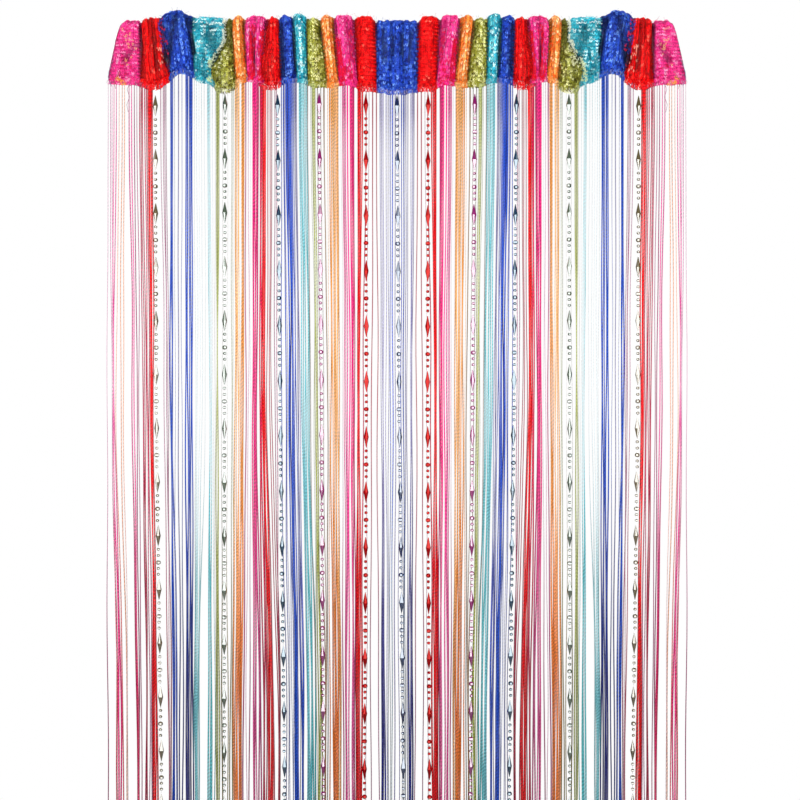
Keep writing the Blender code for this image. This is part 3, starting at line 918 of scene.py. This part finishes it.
# The strings in the order that they leave the lace, a list for each colour of the left half and the
# middle. Each row: from x, to x in the upper part, how many, their tone there; from x, to x lower
# down, and their tone there.
stringGroups = [
    [  # pink
        (-348.4, -348.4, 1, "pale", -347.0, -347.0, "dusk"),
        (-342.4, -341.2, 2, "pale", -334.8, -333.4, "coral"),
        (-340.0, -338.8, 2, "mid", -331.8, -330.2, "full"),
        (-336.0, -336.0, 1, "peach", -328.4, -328.4, "coral"),
        (-331.8, -331.8, 1, "peach", -322.8, -322.8, "peach"),
        (-328.2, -328.2, 1, "peach", -321.6, -321.6, "trace"),
        (-317.2, -315.0, 2, "mid", -311.0, -309.4, "crimson"),
        (-312.0, -309.0, 2, "dusk", -308.2, -306.8, "dusk"),
        (-304.8, -304.8, 1, "crimson", -301.2, -301.2, "crimson"),
    ],
    [  # red
        (-303.6, -301.8, 2, "mid", -300.2, -299.4, "dusk"),
        (-298.8, -297.0, 2, "mid", -297.0, -294.4, "mauve"),
        (-295.2, -292.4, 4, "full", -292.4, -287.8, "full"),
        (-279.6, -279.6, 1, "mauve", -273.4, -273.4, "dusk"),
        (-276.2, -274.4, 3, "mauve", -272.2, -270.4, "pale"),
    ],
    [  # blue
        (-271.4, -269.0, 3, "full", -268.6, -263.8, "full"),
        (-266.0, -266.0, 1, "pale", -263.0, -263.0, "mid"),
        (-261.0, -261.0, 1, "mauve", -259.6, -259.6, "dusk"),
        (-256.8, -256.8, 1, "pale", -255.8, -255.8, "dusk"),
        (-252.0, -250.4, 2, "full", -251.8, -249.6, "navy"),
        (-248.4, -246.2, 3, "full", -248.4, -244.6, "navy"),
    ],
    [  # teal
        (-242.0, -230.0, 5, "trace", -243.6, -238.4, "mid"),
        (-225.2, -223.2, 3, "faint", -225.6, -222.2, "full"),
        (-220.4, -220.4, 1, "trace", -219.2, -219.2, "faint"),
    ],
    [  # olive
        (-218.2, -218.2, 1, "trace", -218.6, -218.6, "trace"),
        (-216.4, -213.8, 3, "mid", -216.2, -213.0, "mid"),
        (-209.0, -203.0, 2, "trace", -209.4, -202.8, "brown"),
        (-198.0, -197.0, 2, "pale", -199.8, -197.2, "brown"),
    ],
    [  # orange
        (-194.4, -190.4, 3, "mid", -196.0, -192.4, "salmon"),
        (-189.4, -186.6, 2, "pale", -191.2, -190.0, "deep"),
        (-185.8, -184.4, 3, "full", -189.6, -187.4, "deep"),
    ],
    [  # pink
        (-181.8, -181.8, 1, "dusk", -184.0, -184.0, "dusk"),
        (-178.2, -178.2, 1, "pale", -180.6, -180.6, "pale"),
        (-176.0, -176.0, 1, "trace", -176.8, -176.8, "dusk"),
        (-172.6, -168.2, 5, "full", -172.2, -163.6, "mid"),
    ],
    [  # red
        (-164.4, -161.2, 3, "crimson", -160.2, -156.4, "mid"),
        (-161.0, -158.4, 4, "full", -154.2, -148.6, "full"),
        (-155.4, -155.4, 1, "dusk", -147.8, -147.8, "dusk"),
        (-152.6, -150.6, 2, "dusk", -142.4, -141.2, "dusk"),
        (-146.4, -144.4, 2, "mauve", -140.8, -140.4, "dusk"),
    ],
    [  # blue
        (-138.6, -138.6, 1, "mid", -133.0, -133.0, "mauve"),
        (-133.6, -133.6, 1, "full", -129.6, -129.6, "mauve"),
        (-132.2, -132.2, 1, "mauve", -128.0, -128.0, "pale"),
        (-129.4, -128.4, 2, "full", -125.2, -123.9, "pale"),
        (-127.0, -127.0, 1, "navy", -122.6, -122.6, "pale"),
        (-126.0, -125.0, 2, "full", -121.2, -120.2, "full"),
        (-124.0, -122.8, 2, "mid", -119.0, -117.8, "full"),
        (-121.0, -121.0, 1, "mid", -115.4, -115.4, "mauve"),
        (-119.0, -117.0, 3, "mauve", -113.4, -111.8, "full"),
    ],
    [  # teal
        (-113.8, -110.6, 3, "mid", -107.4, -104.2, "mid"),
        (-109.0, -105.4, 3, "mid", -102.4, -97.6, "full"),
    ],
    [  # olive
        (-103.8, -103.8, 1, "mauve", -98.0, -98.0, "mauve"),
        (-99.2, -99.2, 1, "pale", -95.6, -95.6, "pale"),
        (-97.4, -95.2, 3, "mid", -94.4, -89.8, "full"),
        (-92.0, -88.0, 2, "mauve", -86.0, -85.0, "dusk"),
        (-84.0, -84.0, 1, "dusk", -82.6, -82.6, "mauve"),
    ],
    [  # orange
        (-82.0, -82.0, 1, "pale", -80.0, -80.0, "salmon"),
        (-79.2, -77.0, 2, "full", -76.0, -74.8, "deep"),
        (-75.4, -72.8, 3, "mid", -73.4, -71.0, "deep"),
        (-71.2, -69.6, 3, "mid", -69.8, -67.6, "mid"),
    ],
    [  # pink
        (-64.8, -64.8, 1, "trace", -64.8, -64.8, "mid"),
        (-62.4, -59.6, 3, "mid", -61.8, -59.6, "mid"),
        (-57.0, -57.0, 1, "full", -57.0, -57.0, "mid"),
        (-53.8, -50.6, 4, "full", -53.6, -51.0, "mid"),
    ],
    [  # red
        (-47.2, -44.6, 4, "full", -48.8, -44.6, "full"),
        (-39.8, -39.8, 1, "mid", -42.8, -42.8, "full"),
        (-36.0, -36.0, 1, "pale", -36.6, -36.6, "pale"),
        (-30.0, -30.0, 1, "mid", -31.8, -31.8, "mauve"),
        (-23.4, -23.4, 1, "dusk", -21.6, -21.6, "mauve"),
    ],
]
middleStrings = [
    (-18.6, -16.4, 3, "mauve", -18.0, -14.6, "navy"),
    (-12.6, -12.6, 1, "mauve", -12.0, -12.0, "mauve"),
    (-10.6, -10.6, 1, "mauve", -9.6, -9.6, "grey"),
    (-8.4, -5.6, 2, "mid", -7.8, -5.6, "grey"),
    (-2.4, -2.4, 1, "mauve", -2.4, -2.4, "mauve"),
]
stringGroups.append(middleStrings + [(-b, -a, n, tone, -d, -c, lowTone)
                                     for a, b, n, tone, c, d, lowTone in reversed(middleStrings)])

# for each colour, how far its strings already stand in their groups where they leave the lace, from
# 0 to 1, how far to the left of those groups, and how much thicker they look there
tops = [
    (0.30, 3.0, -0.20),
    (0.76, 4.0, 0.40),
    (1.00, 0.0, 0.35),
    (0.85, 1.6, 0.90),
    (0.85, 0.0, 0.45),
    (0.85, 0.0, 0.45),
    (0.70, 1.0, 0.40),
    (0.80, 1.2, 0.25),
    (0.40, 1.8, 0.40),
    (0.85, 3.0, 0.30),
    (0.85, 4.0, 0.70),
    (0.85, 1.4, 0.40),
    (0.75, 2.4, 0.40),
    (0.50, 0.0, 0.35),
    (0.60, 0.0, 0.70),
]


def stringPlaces(start, end, count):
    # places along the foot of one colour's strings, evenly apart
    length = end - start - 2 * strings["endMargin"]
    return start + strings["endMargin"] + length * np.arange(count) / (count - 1)


def yarnTree():
    tree, given = newTree("twistedYarn", [("Sides", "Int"), ("Material", "Material")])
    curve = addNode(tree, "GeometryNodeMeshToCurve", {"Mesh": given.outputs["Geometry"]}).outputs[0]
    length = addNode(tree, "GeometryNodeSplineParameter").outputs["Length"]
    turns = mathNode(tree, "DIVIDE", length, named(tree, "pitch", "FLOAT"))
    curve = storeValue(tree, curve, "turns", turns, data_type="FLOAT")
    circle = roundProfile(tree, given.outputs["Sides"], 1.0)
    spot = addNode(tree, "GeometryNodeInputPosition").outputs[0]
    circle = storeValue(tree, circle, "around", spot, data_type="FLOAT_VECTOR")
    tube = addNode(tree, "GeometryNodeCurveToMesh", {
        "Curve": curve, "Profile Curve": circle, "Scale": named(tree, "thick", "FLOAT"), "Fill Caps": True,
    })
    closeTree(tree, tube.outputs[0], given.outputs["Material"])
    return tree


def growYarns(name, lines, thick, dye, tree, material, sides, rng):
    # lines: one row of points for each yarn, with a dye for the yarn or for each of its points
    count, steps = lines.shape[0], lines.shape[1] - 1
    dye = np.broadcast_to(dye.reshape(count, -1, 3), lines.shape).reshape(-1, 3)
    pitch = rng.uniform(*strings["twistPitch"], count)
    starts = np.arange(count)[:, None] * (steps + 1) + np.arange(steps)[None, :]
    edges = np.stack([starts.ravel(), starts.ravel() + 1], 1)
    guide = makeMesh(name, lines.reshape(-1, 3), edges=edges, values=[
        ("thick", "FLOAT", np.broadcast_to(thick, lines.shape[:2]) * mm),
        ("pitch", "FLOAT", np.repeat(pitch, steps + 1) * mm),
        ("dye", "FLOAT_COLOR", withAlpha(dye)),
    ])
    return runTree(name, guide, tree, {"Sides": sides, "Material": material})


def makeStrings(i, tree):
    # a mirrored colour is made as its twin on the left, then turned over
    twin = min(i, foldCount - 1 - i)
    side = -1.0 if i > twin else 1.0
    colour = fold["colour"][twin]
    groups = stringGroups[twin]
    gathered = np.concatenate([np.linspace(a, b, n) for a, b, n, *_ in groups])
    closing = np.concatenate([np.linspace(c, d, n) for _, _, n, _, c, d, _ in groups]) - gathered
    tones = [row[3] for row in groups for _ in range(row[2])]
    lowTones = [row[6] for row in groups for _ in range(row[2])]
    count, steps = len(gathered), strings["steps"]
    runs = stringPlaces(foot["starts"][twin], foot["starts"][twin + 1], count)
    rng = np.random.default_rng(strings["seed"] + 7 * twin)
    top = atFoot(runs, "hem")[:, None]
    t = np.linspace(0, 1, steps + 1)[None, :] ** strings["stepGrowth"]
    z = top + (strings["end"] - top) * t
    rootX, rootY = atFoot(runs, "footX")[:, None], atFoot(runs, "footY")[:, None]
    bunched, lean, topFuller = tops[twin]
    rootX += bunched * (gathered[:, None] - lean - rootX)
    settled = softStep(*strings["settled"], top - z)
    lowPart = softStep(-strings["half"], -strings["low"], -z)
    past = np.clip((strings["leanFrom"] - z) / (strings["leanFrom"] - strings["end"]), 0, 1)
    sweep = closing[:, None] * lowPart * (1 - strings["leanBack"] * past)
    sway, swayY = np.zeros_like(z), np.zeros_like(z)
    for wave in strings["waves"]:
        phase = rng.uniform(0, 2 * math.pi, (count, 2))
        turns = 2 * math.pi * (top - z) / 1000 / wave
        sway += np.sin(turns + phase[:, :1]) / 2
        swayY += np.sin(turns + phase[:, 1:]) / 2
    x = rootX + (gathered[:, None] - rootX + sway * strings["wander"]) * settled + sweep
    depth = rng.uniform(-strings["depthSpread"], strings["depthSpread"], (count, 1))
    y = rootY + (swayY * strings["wander"] + depth) * settled
    # each string starts as a loop of the lace, drawn from the loop's foot and back to it
    turn = np.linspace(0, 2 * math.pi, strings["loopSteps"] + 1)[None, :-1]
    swing = strings["loopWidth"] / 2 * np.sin(turn) * rng.uniform(*strings["loopSpread"], (count, 1))
    loopX = rootX + swing
    loopZ = top + strings["loopHeight"] / 2 * (1 - np.cos(turn))
    loopY = rootY + strings["loopDepth"] * np.cos(turn * 2)
    lines = np.stack([np.concatenate([loopX, x], 1) * side, np.concatenate([loopY, y], 1),
                      np.concatenate([loopZ, z], 1)], -1)
    change = np.concatenate([np.zeros_like(loopX), lowPart], 1)
    highDye, lowDye = (np.stack([linear(*dyes[colour][tone]) for tone in names])[:, None]
                       for names in (tones, lowTones))
    # lower down the dye turns to the lower tone and is darkened as painted shade
    dye = highDye + (lowDye * strings["lowShade"] - highDye) * change[:, :, None]
    dye = dye * rng.uniform(*strings["dyeSpread"], (count, 1, 1))
    high, low = (np.array([toneThickness[tone] for tone in names])[:, None] for names in (tones, lowTones))
    nearTop = 1 - np.concatenate([np.zeros_like(loopX), softStep(*strings["topFade"], top - z)], 1)
    thick = high * (1 + topFuller * nearTop)
    thick = thick + (low * (1 + strings["fuller"]) - thick) * change
    thick = thick * rng.uniform(*strings["thickSpread"], (count, 1))
    name = f"yarn_{i + 1:02d}_{colour}"
    return growYarns(name, lines, thick, dye, tree, stringYarns[colour], strings["sides"], rng)


# upper, lower: layers of stitches in the upper and lower part of the border, for each colour of the
# left half and the middle; one layer leaves open loops
lace = {
    "pitch": 2.5,
    "rowPitch": 1.9,
    "overlap": 1.4,
    "clearance": 1.2,
    "lowerPart": 0.5,
    # how much darker each deeper layer of lace is dyed, as painted shade
    "layerShade": 0.22,
    "outset": 0.5,
    "sideShift": 0.25,
    "heightShift": 0.3,
    # how far out the lace counts as standing, which gives it no painted valley shade and some painted
    # highlights
    "standsOut": 0.8,
    "seed": 31,
    "upper": (3, 3, 3, 3, 3, 3, 3, 2, 3, 3, 3, 3, 3, 3, 3),
    "lower": (3, 2, 3, 3, 1, 3, 3, 1, 3, 3, 2, 3, 3, 1, 1),
}


def makeLace(i, tree):
    # open knit between the heading's foot and the strings' loops, with no ground behind it
    twin = min(i, foldCount - 1 - i)
    colour = fold["colour"][i]
    rng = np.random.default_rng(lace["seed"] + i)
    start, end = foot["starts"][i], foot["starts"][i + 1]
    parts = []
    for layer in range(lace["upper"][twin]):
        runs = np.arange(start + lace["pitch"] * (0.5 + 0.5 * (layer % 2)), end, lace["pitch"])
        low = atFoot(runs, "hem") + lace["clearance"]
        high = atFoot(runs, "edge") + lace["overlap"]
        rows = max(2, round(float((high - low).mean()) / lace["rowPitch"]) + 1)
        for row in range(rows):
            if row / (rows - 1) < lace["lowerPart"] and layer >= lace["lower"][twin]:
                continue
            offRow = 0.5 * lace["pitch"] if row % 2 else 0.0
            here = runs + rng.normal(0, lace["sideShift"], len(runs)) + offRow
            z = low + (high - low) * row / (rows - 1) + rng.normal(0, lace["heightShift"], len(runs))
            parts.append(np.stack([here, z, np.full(len(runs), layer)], 1))
    here, z, layer = np.concatenate(parts).T
    normalX, normalY = atFoot(here, "normalX"), atFoot(here, "normalY")
    outset = lace["outset"] - layer
    x, y = atFoot(here, "footX") + normalX * outset, atFoot(here, "footY") + normalY * outset
    points = np.stack([x, y, z], 1)
    outward = np.stack([normalX, normalY, 0 * z], 1)
    outward /= np.linalg.norm(outward, axis=1, keepdims=True)
    upward = np.tile((0.0, 0.0, 1.0), (len(z), 1))
    runIndex = np.full(len(z), i)
    # painted shade on the deeper layers, and the painted light of stitches standing out on a ridge
    dye = knitDye(runIndex, np.full(len(z), lace["standsOut"]), 1 - lace["layerShade"] * layer, rng)
    addAccents(dye, points, runIndex, rng)
    name = f"lace_{i + 1:02d}_{colour}"
    return growStitches(name, colour, tree, points, outward, upward, runIndex, dye, rng)


# Short fibres along the top edge, and three loose threads at each outer edge.
fuzz = {
    "count": 420,
    "longest": 5.0,
    "shortest": 2.0,
    "radius": 0.12,
    "rowSpread": 3.0,
    "lean": 0.5,
    "droop": 0.4,
    "leastReach": 0.4,
    "looseRadius": 0.3,
    "looseY": -9.0,
    "looseSwing": 6.0,
    "steps": 4,
    "sides": 3,
    "seed": 47,
}
looseThreads = [
    ("olive", "dusk", [(-331, -68), (-334, -74), (-336, -79), (-338, -82), (-337, -88)]),
    ("blue", "mauve", [(-337, -50), (-341, -60), (-344, -70), (-345, -78), (-342, -85)]),
    ("pink", "dusk", [(-318, -80), (-322, -90), (-319, -99), (-323, -108), (-322, -116)]),
]


def makeFuzz(tree):
    rng = np.random.default_rng(fuzz["seed"])
    count = fuzz["count"]
    column = rng.uniform(1, len(skin) - 2, count)
    row = frontRows + rng.uniform(-fuzz["rowSpread"], fuzz["rowSpread"], count)
    start = sampleGrid(skin, column, row)
    way = sampleGrid(skinNormal, column, row) + rng.normal(0, fuzz["lean"], (count, 3))
    curl = rng.normal(0, 1.0, (count, 3)) - (0, 0, fuzz["droop"])
    reach = rng.uniform(fuzz["shortest"], fuzz["longest"], (count, 1, 1))
    reach = reach * rng.uniform(fuzz["leastReach"], 1, (count, 1, 1))
    t = np.linspace(0, 1, fuzz["steps"] + 1)[None, :, None]
    lines = start[:, None] + (way[:, None] * t + curl[:, None] * t ** 2 * 0.5) * reach
    runs = stationsAt(np.interp(column, np.arange(len(places)), places))["run"]
    dye = np.stack([linear(*dyes[fold["colour"][run]]["knit"][0]) for run in runs])
    thin = np.full(count, fuzz["radius"])
    loose, looseDye = [], []
    for side in (-1, 1):
        for colour, tone, path in looseThreads:
            depths = [fuzz["looseY"] - fuzz["looseSwing"] * math.sin(k) for k in range(len(path))]
            loose.append([(-side * x, y, z) for (x, z), y in zip(path, depths)])
            looseDye.append(linear(*dyes[colour][tone]))
    thick = np.concatenate([thin, [fuzz["looseRadius"]] * len(loose)])[:, None]
    return growYarns("fuzz", np.concatenate([lines, np.array(loose)]), thick,
                     np.concatenate([dye, looseDye]), tree, stringYarns["pink"], fuzz["sides"], rng)


twistedYarn = yarnTree()
yarns = [makeStrings(i, twistedYarn) for i in range(foldCount)]
laces = [makeLace(i, vStitch) for i in range(foldCount)]
fibres = makeFuzz(twistedYarn)
print("strings and lace hung")


beadLine = {
    "reach": 3.4,
    "samples": 9,
    "clearance": 3.7,
    "knotTop": 3.0,
    "firstUnit": -93.5,
    "firstSpread": 2.5,
    "unitHeight": 64.4,
    "threadRadius": 0.28,
    "threadSides": 5,
    "threadTone": (0.62, 0.86),
    "threadCloud": 60.0,
    "threadRoughness": 0.25,
    "spindleLength": 26.0,
    "spindleRadius": 3.1,
    "spindleTaper": ((0.03, 0.12), (0.27, 0.57), (0.5, 1.0), (0.73, 0.57), (0.97, 0.12)),
    "bigRadius": 2.9,
    "smallRadius": 1.95,
    "ballTaper": ((0.60, 0.82), (1.0, 0.42), (1.0, -0.42), (0.60, -0.82)),
    "ballHeight": 0.92,
    "bigAt": 45.1,
    "smallAt": (29.2, 36.7, 52.2, 59.2),
    "sides": 8,
    "ballSides": 7,
    "seed": 41,
}
# each line: its colour, its x at the knot, how far it has moved at half height and lower down, and the
# height of its repeat
leftBeads = [
    ("smoke_brown", -289.2, 1.0, 7.2, 64.3),
    ("smoke_green", -205.2, -0.8, -1.0, 64.4),
    ("deep_teal", -142.8, 3.2, 8.4, 65.9),
    ("magenta", -93.0, 2.8, 5.0, 65.9),
    ("ruby", -37.2, 0.8, -1.6, 66.1),
]
allBeads = [*leftBeads, ("navy", 0.0, 2.6, 7.6, 66.0),
            *[(colour, -x, -half, -low, pitch) for colour, x, half, low, pitch in reversed(leftBeads)]]
# tone: the body's colour; shine: the tint of its reflections
beadLook = {
    "smoke_brown": {"tone": (84, 74, 48), "shine": (1.0, 1.0, 0.96)},
    "smoke_green": {"tone": (66, 78, 64), "shine": (0.96, 1.0, 0.98)},
    "deep_teal": {"tone": (10, 40, 62), "shine": (0.76, 0.90, 0.97)},
    "magenta": {"tone": (116, 18, 86), "shine": (1.0, 0.96, 1.0)},
    "ruby": {"tone": (128, 2, 6), "shine": (0.56, 0.06, 0.05)},
    "navy": {"tone": (16, 32, 66), "shine": (0.82, 0.90, 0.97)},
}
beadGloss = {"roughness": 0.06, "ior": 1.75, "cloudScale": 140.0, "cloud": (0.8, 1.2)}


def makeBeadGloss(colour):
    material, tree, shader = newMaterial(f"bead_gloss_{colour}")
    place = addNode(tree, "ShaderNodeTexCoord").outputs["Object"]
    cloud = noiseNode(tree, place, beadGloss["cloudScale"], 1.0)
    tone = linear(*beadLook[colour]["tone"])
    dark, light = ((*(tone * share), 1) for share in beadGloss["cloud"])
    tree.links.new(mixNode(tree, cloud, dark, light), shader.inputs["Base Color"])
    shader.inputs["Roughness"].default_value = beadGloss["roughness"]
    shader.inputs["IOR"].default_value = beadGloss["ior"]
    shader.inputs["Specular Tint"].default_value = (*beadLook[colour]["shine"], 1)
    return material


def turnedBead(bm, profile, sides, turn):
    # a faceted bead from its (radius, z) profile, whose first and last points are its poles
    rings = []
    for radius, z in profile[1:-1]:
        ring = []
        for k in range(sides):
            angle = 2 * math.pi * (k + turn) / sides
            x, y = radius * math.cos(angle), radius * math.sin(angle)
            ring.append(bm.verts.new((x * mm, y * mm, z * mm)))
        rings.append(ring)
    top, tip = (bm.verts.new((0, 0, z * mm)) for z in (profile[0][1], profile[-1][1]))
    for upper, lower in zip(rings, rings[1:]):
        for k in range(sides):
            after = (k + 1) % sides
            bm.faces.new((upper[k], lower[k], lower[after], upper[after]))
    for k in range(sides):
        after = (k + 1) % sides
        bm.faces.new((top, rings[0][k], rings[0][after]))
        bm.faces.new((tip, rings[-1][after], rings[-1][k]))


def makeBeadUnit():
    # one repeat, drawn downwards from its spindle's top
    bm = bmesh.new()
    length, radius = beadLine["spindleLength"], beadLine["spindleRadius"]
    spindle = [(0, 0.0)]
    for part, share in beadLine["spindleTaper"]:
        spindle.append((radius * share, -length * part))
    spindle.append((0, -length))
    turnedBead(bm, spindle, beadLine["sides"], 0.5)
    for level in (*beadLine["smallAt"], beadLine["bigAt"]):
        size = beadLine["bigRadius"] if level == beadLine["bigAt"] else beadLine["smallRadius"]
        taper = ((0, 1), *beadLine["ballTaper"], (0, -1))
        ball = [(size * share, -level + size * beadLine["ballHeight"] * high) for share, high in taper]
        turnedBead(bm, ball, beadLine["ballSides"], 0.0)
    mesh = bpy.data.meshes.new("bead_unit")
    bm.to_mesh(mesh)
    bm.free()
    return linkObject("bead_unit", mesh)


def beadTree():
    tree, given = newTree("beadLine", [
        ("Unit", "Object"), ("Stretch", "Float"), ("Thread radius", "Float"), ("Seed", "Int"),
        ("Thread material", "Material"), ("Material", "Material"),
    ])
    get = given.outputs
    unit = addNode(tree, "GeometryNodeObjectInfo", {"Object": get["Unit"]}).outputs["Geometry"]
    spin = addNode(tree, "FunctionNodeRandomValue", {2: 0.0, 3: 6.283, "Seed": get["Seed"]},
                   data_type="FLOAT").outputs[1]
    turn = addNode(tree, "ShaderNodeCombineXYZ", {2: spin}).outputs[0]
    placed = addNode(tree, "GeometryNodeInstanceOnPoints", {
        "Points": get["Geometry"], "Selection": named(tree, "unit", "BOOLEAN"), "Instance": unit,
        "Rotation": addNode(tree, "FunctionNodeEulerToRotation", {0: turn}).outputs[0],
        "Scale": addNode(tree, "ShaderNodeCombineXYZ", {0: 1.0, 1: 1.0, 2: get["Stretch"]}).outputs[0],
    })
    curve = addNode(tree, "GeometryNodeMeshToCurve", {"Mesh": get["Geometry"]}).outputs[0]
    profile = roundProfile(tree, beadLine["threadSides"], get["Thread radius"])
    tube = addNode(tree, "GeometryNodeCurveToMesh",
                   {"Curve": curve, "Profile Curve": profile, "Fill Caps": True}).outputs[0]
    thread = storeValue(tree, tube, "thread", True, data_type="BOOLEAN", domain="FACE")
    both = addNode(tree, "GeometryNodeJoinGeometry")
    tree.links.new(placed.outputs[0], both.inputs[0])
    tree.links.new(thread, both.inputs[0])
    real = addNode(tree, "GeometryNodeRealizeInstances", {"Geometry": both.outputs[0]}).outputs[0]
    flat = addNode(tree, "GeometryNodeSetShadeSmooth", {"Geometry": real, "Shade Smooth": False}).outputs[0]
    beads = addNode(tree, "GeometryNodeSetMaterial", {"Geometry": flat, "Material": get["Material"]})
    done = addNode(tree, "GeometryNodeSetMaterial", {
        "Geometry": beads.outputs[0], "Selection": named(tree, "thread", "BOOLEAN"),
        "Material": get["Thread material"],
    })
    tree.links.new(done.outputs[0], tree.nodes.new("NodeGroupOutput").inputs["Geometry"])
    return tree


def makeThread():
    material, tree, shader = newMaterial("clear_thread")
    place = addNode(tree, "ShaderNodeTexCoord").outputs["Object"]
    cloud = noiseNode(tree, place, beadLine["threadCloud"], 2.0)
    tone = rangeNode(tree, cloud, 0.0, 1.0, *beadLine["threadTone"])
    grey = addNode(tree, "ShaderNodeCombineXYZ", {0: tone, 1: tone, 2: tone})
    tree.links.new(grey.outputs[0], shader.inputs["Base Color"])
    shader.inputs["Roughness"].default_value = beadLine["threadRoughness"]
    return material


def makeBeadLine(i, tree, unit, threadMaterial):
    colour, x, half, low, pitch = allBeads[i]
    near = np.linspace(x - beadLine["reach"], x + beadLine["reach"], beadLine["samples"])
    y = float(np.interp(near, foot["footX"], foot["footY"]).min()) - beadLine["clearance"]
    run = float(np.interp(x, foot["footX"], foot["length"]))
    top = float(atFoot(run, "hem"))
    rng = np.random.default_rng(beadLine["seed"] + i)
    first = beadLine["firstUnit"] - rng.uniform(0, beadLine["firstSpread"])
    units = int((first - strings["end"]) / pitch)
    levels = [top + beadLine["knotTop"], *[first - pitch * k for k in range(units)], strings["end"]]
    heights = [strings["end"], strings["low"], strings["half"], top]
    moved = np.interp(levels, heights, [low * (1 - strings["leanBack"]), low, half, 0.0])
    points = [(x + away, y, z) for away, z in zip(moved, levels)]
    isUnit = [0.0, *[1.0] * units, 0.0]
    edges = [(k, k + 1) for k in range(len(points) - 1)]
    guide = makeMesh("bead_line", points, edges=edges, values=[("unit", "FLOAT", isUnit)])
    return runTree(f"beadline_{i + 1:02d}_{colour}", guide, tree, {
        "Unit": unit, "Stretch": pitch / beadLine["unitHeight"],
        "Thread radius": beadLine["threadRadius"] * mm, "Seed": beadLine["seed"] + i,
        "Thread material": threadMaterial, "Material": beadGlosses[colour],
    })


beadGlosses = {colour: makeBeadGloss(colour) for colour in beadLook}
clearThread = makeThread()
beadUnit = makeBeadUnit()
lineTree = beadTree()
beadLines = [makeBeadLine(i, lineTree, beadUnit, clearThread) for i in range(len(allBeads))]
bpy.data.objects.remove(beadUnit)
print("beads threaded")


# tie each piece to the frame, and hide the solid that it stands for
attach(ground, "root")
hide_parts("heading")
for piece in stitches:
    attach(piece, "root")
for i in range(foldCount):
    colour = fold["colour"][i]
    for piece in (yarns[i], laces[i]):
        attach(piece, "root")
        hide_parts(f"strings_{i + 1:02d}_{colour}")
for i, (colour, *_) in enumerate(allBeads):
    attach(beadLines[i], "root")
    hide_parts(f"beads_{i + 1:02d}_{colour}")
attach(fibres, "root")


# all in metres: the camera's distance and the width it sees, its x and z, the floor's level and size
view = {"distance": 2.4, "frame": 0.96, "x": 3.6 * mm, "z": -460.8 * mm, "floor": -2.02, "floorSize": 6.0}
far = view["floorSize"] / mm / 2
corners = [(x * far, y * far, view["floor"] / mm) for x, y in ((-1, -1), (1, -1), (1, 1), (-1, 1))]
floorMesh = makeMesh("floor", corners, faces=[(0, 1, 2, 3)])
floor = linkObject("floor", floorMesh)
floorPaint, _, floorShader = newMaterial("pale_floor")
floorShader.inputs["Base Color"].default_value = (0.86, 0.86, 0.86, 1)
floorShader.inputs["Roughness"].default_value = 0.6
floorMesh.materials.append(floorPaint)

# backdrop: what the camera sees; level, overhead: soft light from the sides and from above
# panel, unlit: the lit wall in front that the beads reflect, and what they reflect beside it
# panelEdge, panelSide: where the wall fades out above and below, and at its sides
studio = {
    "backdrop": 1.0,
    "level": 0.15,
    "overhead": 1.6,
    "overheadEdge": (0.5, 0.87),
    "panel": 13.0,
    "unlit": 0.07,
    "panelEdge": (0.41, 0.46),
    "panelSide": (-0.48, -0.30),
}
world = bpy.data.worlds.new("studio")
bpy.context.scene.world = world
world.use_nodes = True
sky = world.node_tree
background = sky.nodes["Background"]
rays = addNode(sky, "ShaderNodeLightPath")
way = addNode(sky, "ShaderNodeTexCoord").outputs["Generated"]
direction = addNode(sky, "ShaderNodeSeparateXYZ", {0: way}).outputs
slope = mathNode(sky, "ABSOLUTE", direction["Z"])
inFront = rangeNode(sky, direction["Y"], *studio["panelSide"], 1.0, 0.0)
level = rangeNode(sky, slope, *studio["panelEdge"], 1.0, 0.0)
panel = mathNode(sky, "MULTIPLY", level, inFront)
gloss = rangeNode(sky, panel, 0.0, 1.0, studio["unlit"], studio["panel"])
diffuse = rangeNode(sky, direction["Z"], *studio["overheadEdge"], studio["level"], studio["overhead"])
unseen = addNode(sky, "ShaderNodeMix", {0: rays.outputs["Is Glossy Ray"], 2: diffuse, 3: gloss}).outputs[0]
seen = {0: rays.outputs["Is Camera Ray"], 2: unseen, 3: studio["backdrop"]}
strength = addNode(sky, "ShaderNodeMix", seen)
sky.links.new(strength.outputs[0], background.inputs["Strength"])
background.inputs["Color"].default_value = (1, 1, 1, 1)


def areaLight(name, place, target, size, watts):
    lamp = bpy.data.lights.new(name, "AREA")
    lamp.shape = "RECTANGLE"
    lamp.size, lamp.size_y = size
    lamp.energy = watts
    item = bpy.data.objects.new(name, lamp)
    bpy.context.scene.collection.objects.link(item)
    item.location = place
    item.rotation_euler = (Vector(target) - Vector(place)).to_track_quat("-Z", "Y").to_euler()
    item.visible_camera = False
    item.visible_glossy = False


# each lamp, in metres: its name, its place, what it points at, its size and its watts
lamps = [
    ("key", (0, -1.3, 0.75), (0, 0, -0.03), (2.2, 0.5), 23),
    ("strip", (0, -0.4, -0.40), (0, 0, -0.40), (2.2, 0.35), 6.6),
    ("back", (0, 1.6, -0.3), (0, 0, -0.4), (2.4, 1.2), 7),
]
for lamp in lamps:
    areaLight(*lamp)

camera = bpy.data.cameras.new("camera")
camera.sensor_width = 36
camera.lens = camera.sensor_width * view["distance"] / view["frame"]
camera.clip_end = 60
cameraItem = bpy.data.objects.new("camera", camera)
bpy.context.scene.collection.objects.link(cameraItem)
cameraItem.location = (view["x"], -view["distance"], view["z"])
cameraItem.rotation_euler = (math.pi / 2, 0, 0)
bpy.context.scene.camera = cameraItem
bpy.context.scene.view_settings.view_transform = "Standard"
print("stage lit")

triangles = {item.name: sum(len(face.vertices) - 2 for face in item.data.polygons)
             for item in bpy.data.objects if item.type == "MESH" and item.name not in frame["nodes"]}
print("triangles:", sum(triangles.values()), "largest:", max(triangles.items(), key=lambda pair: pair[1]))
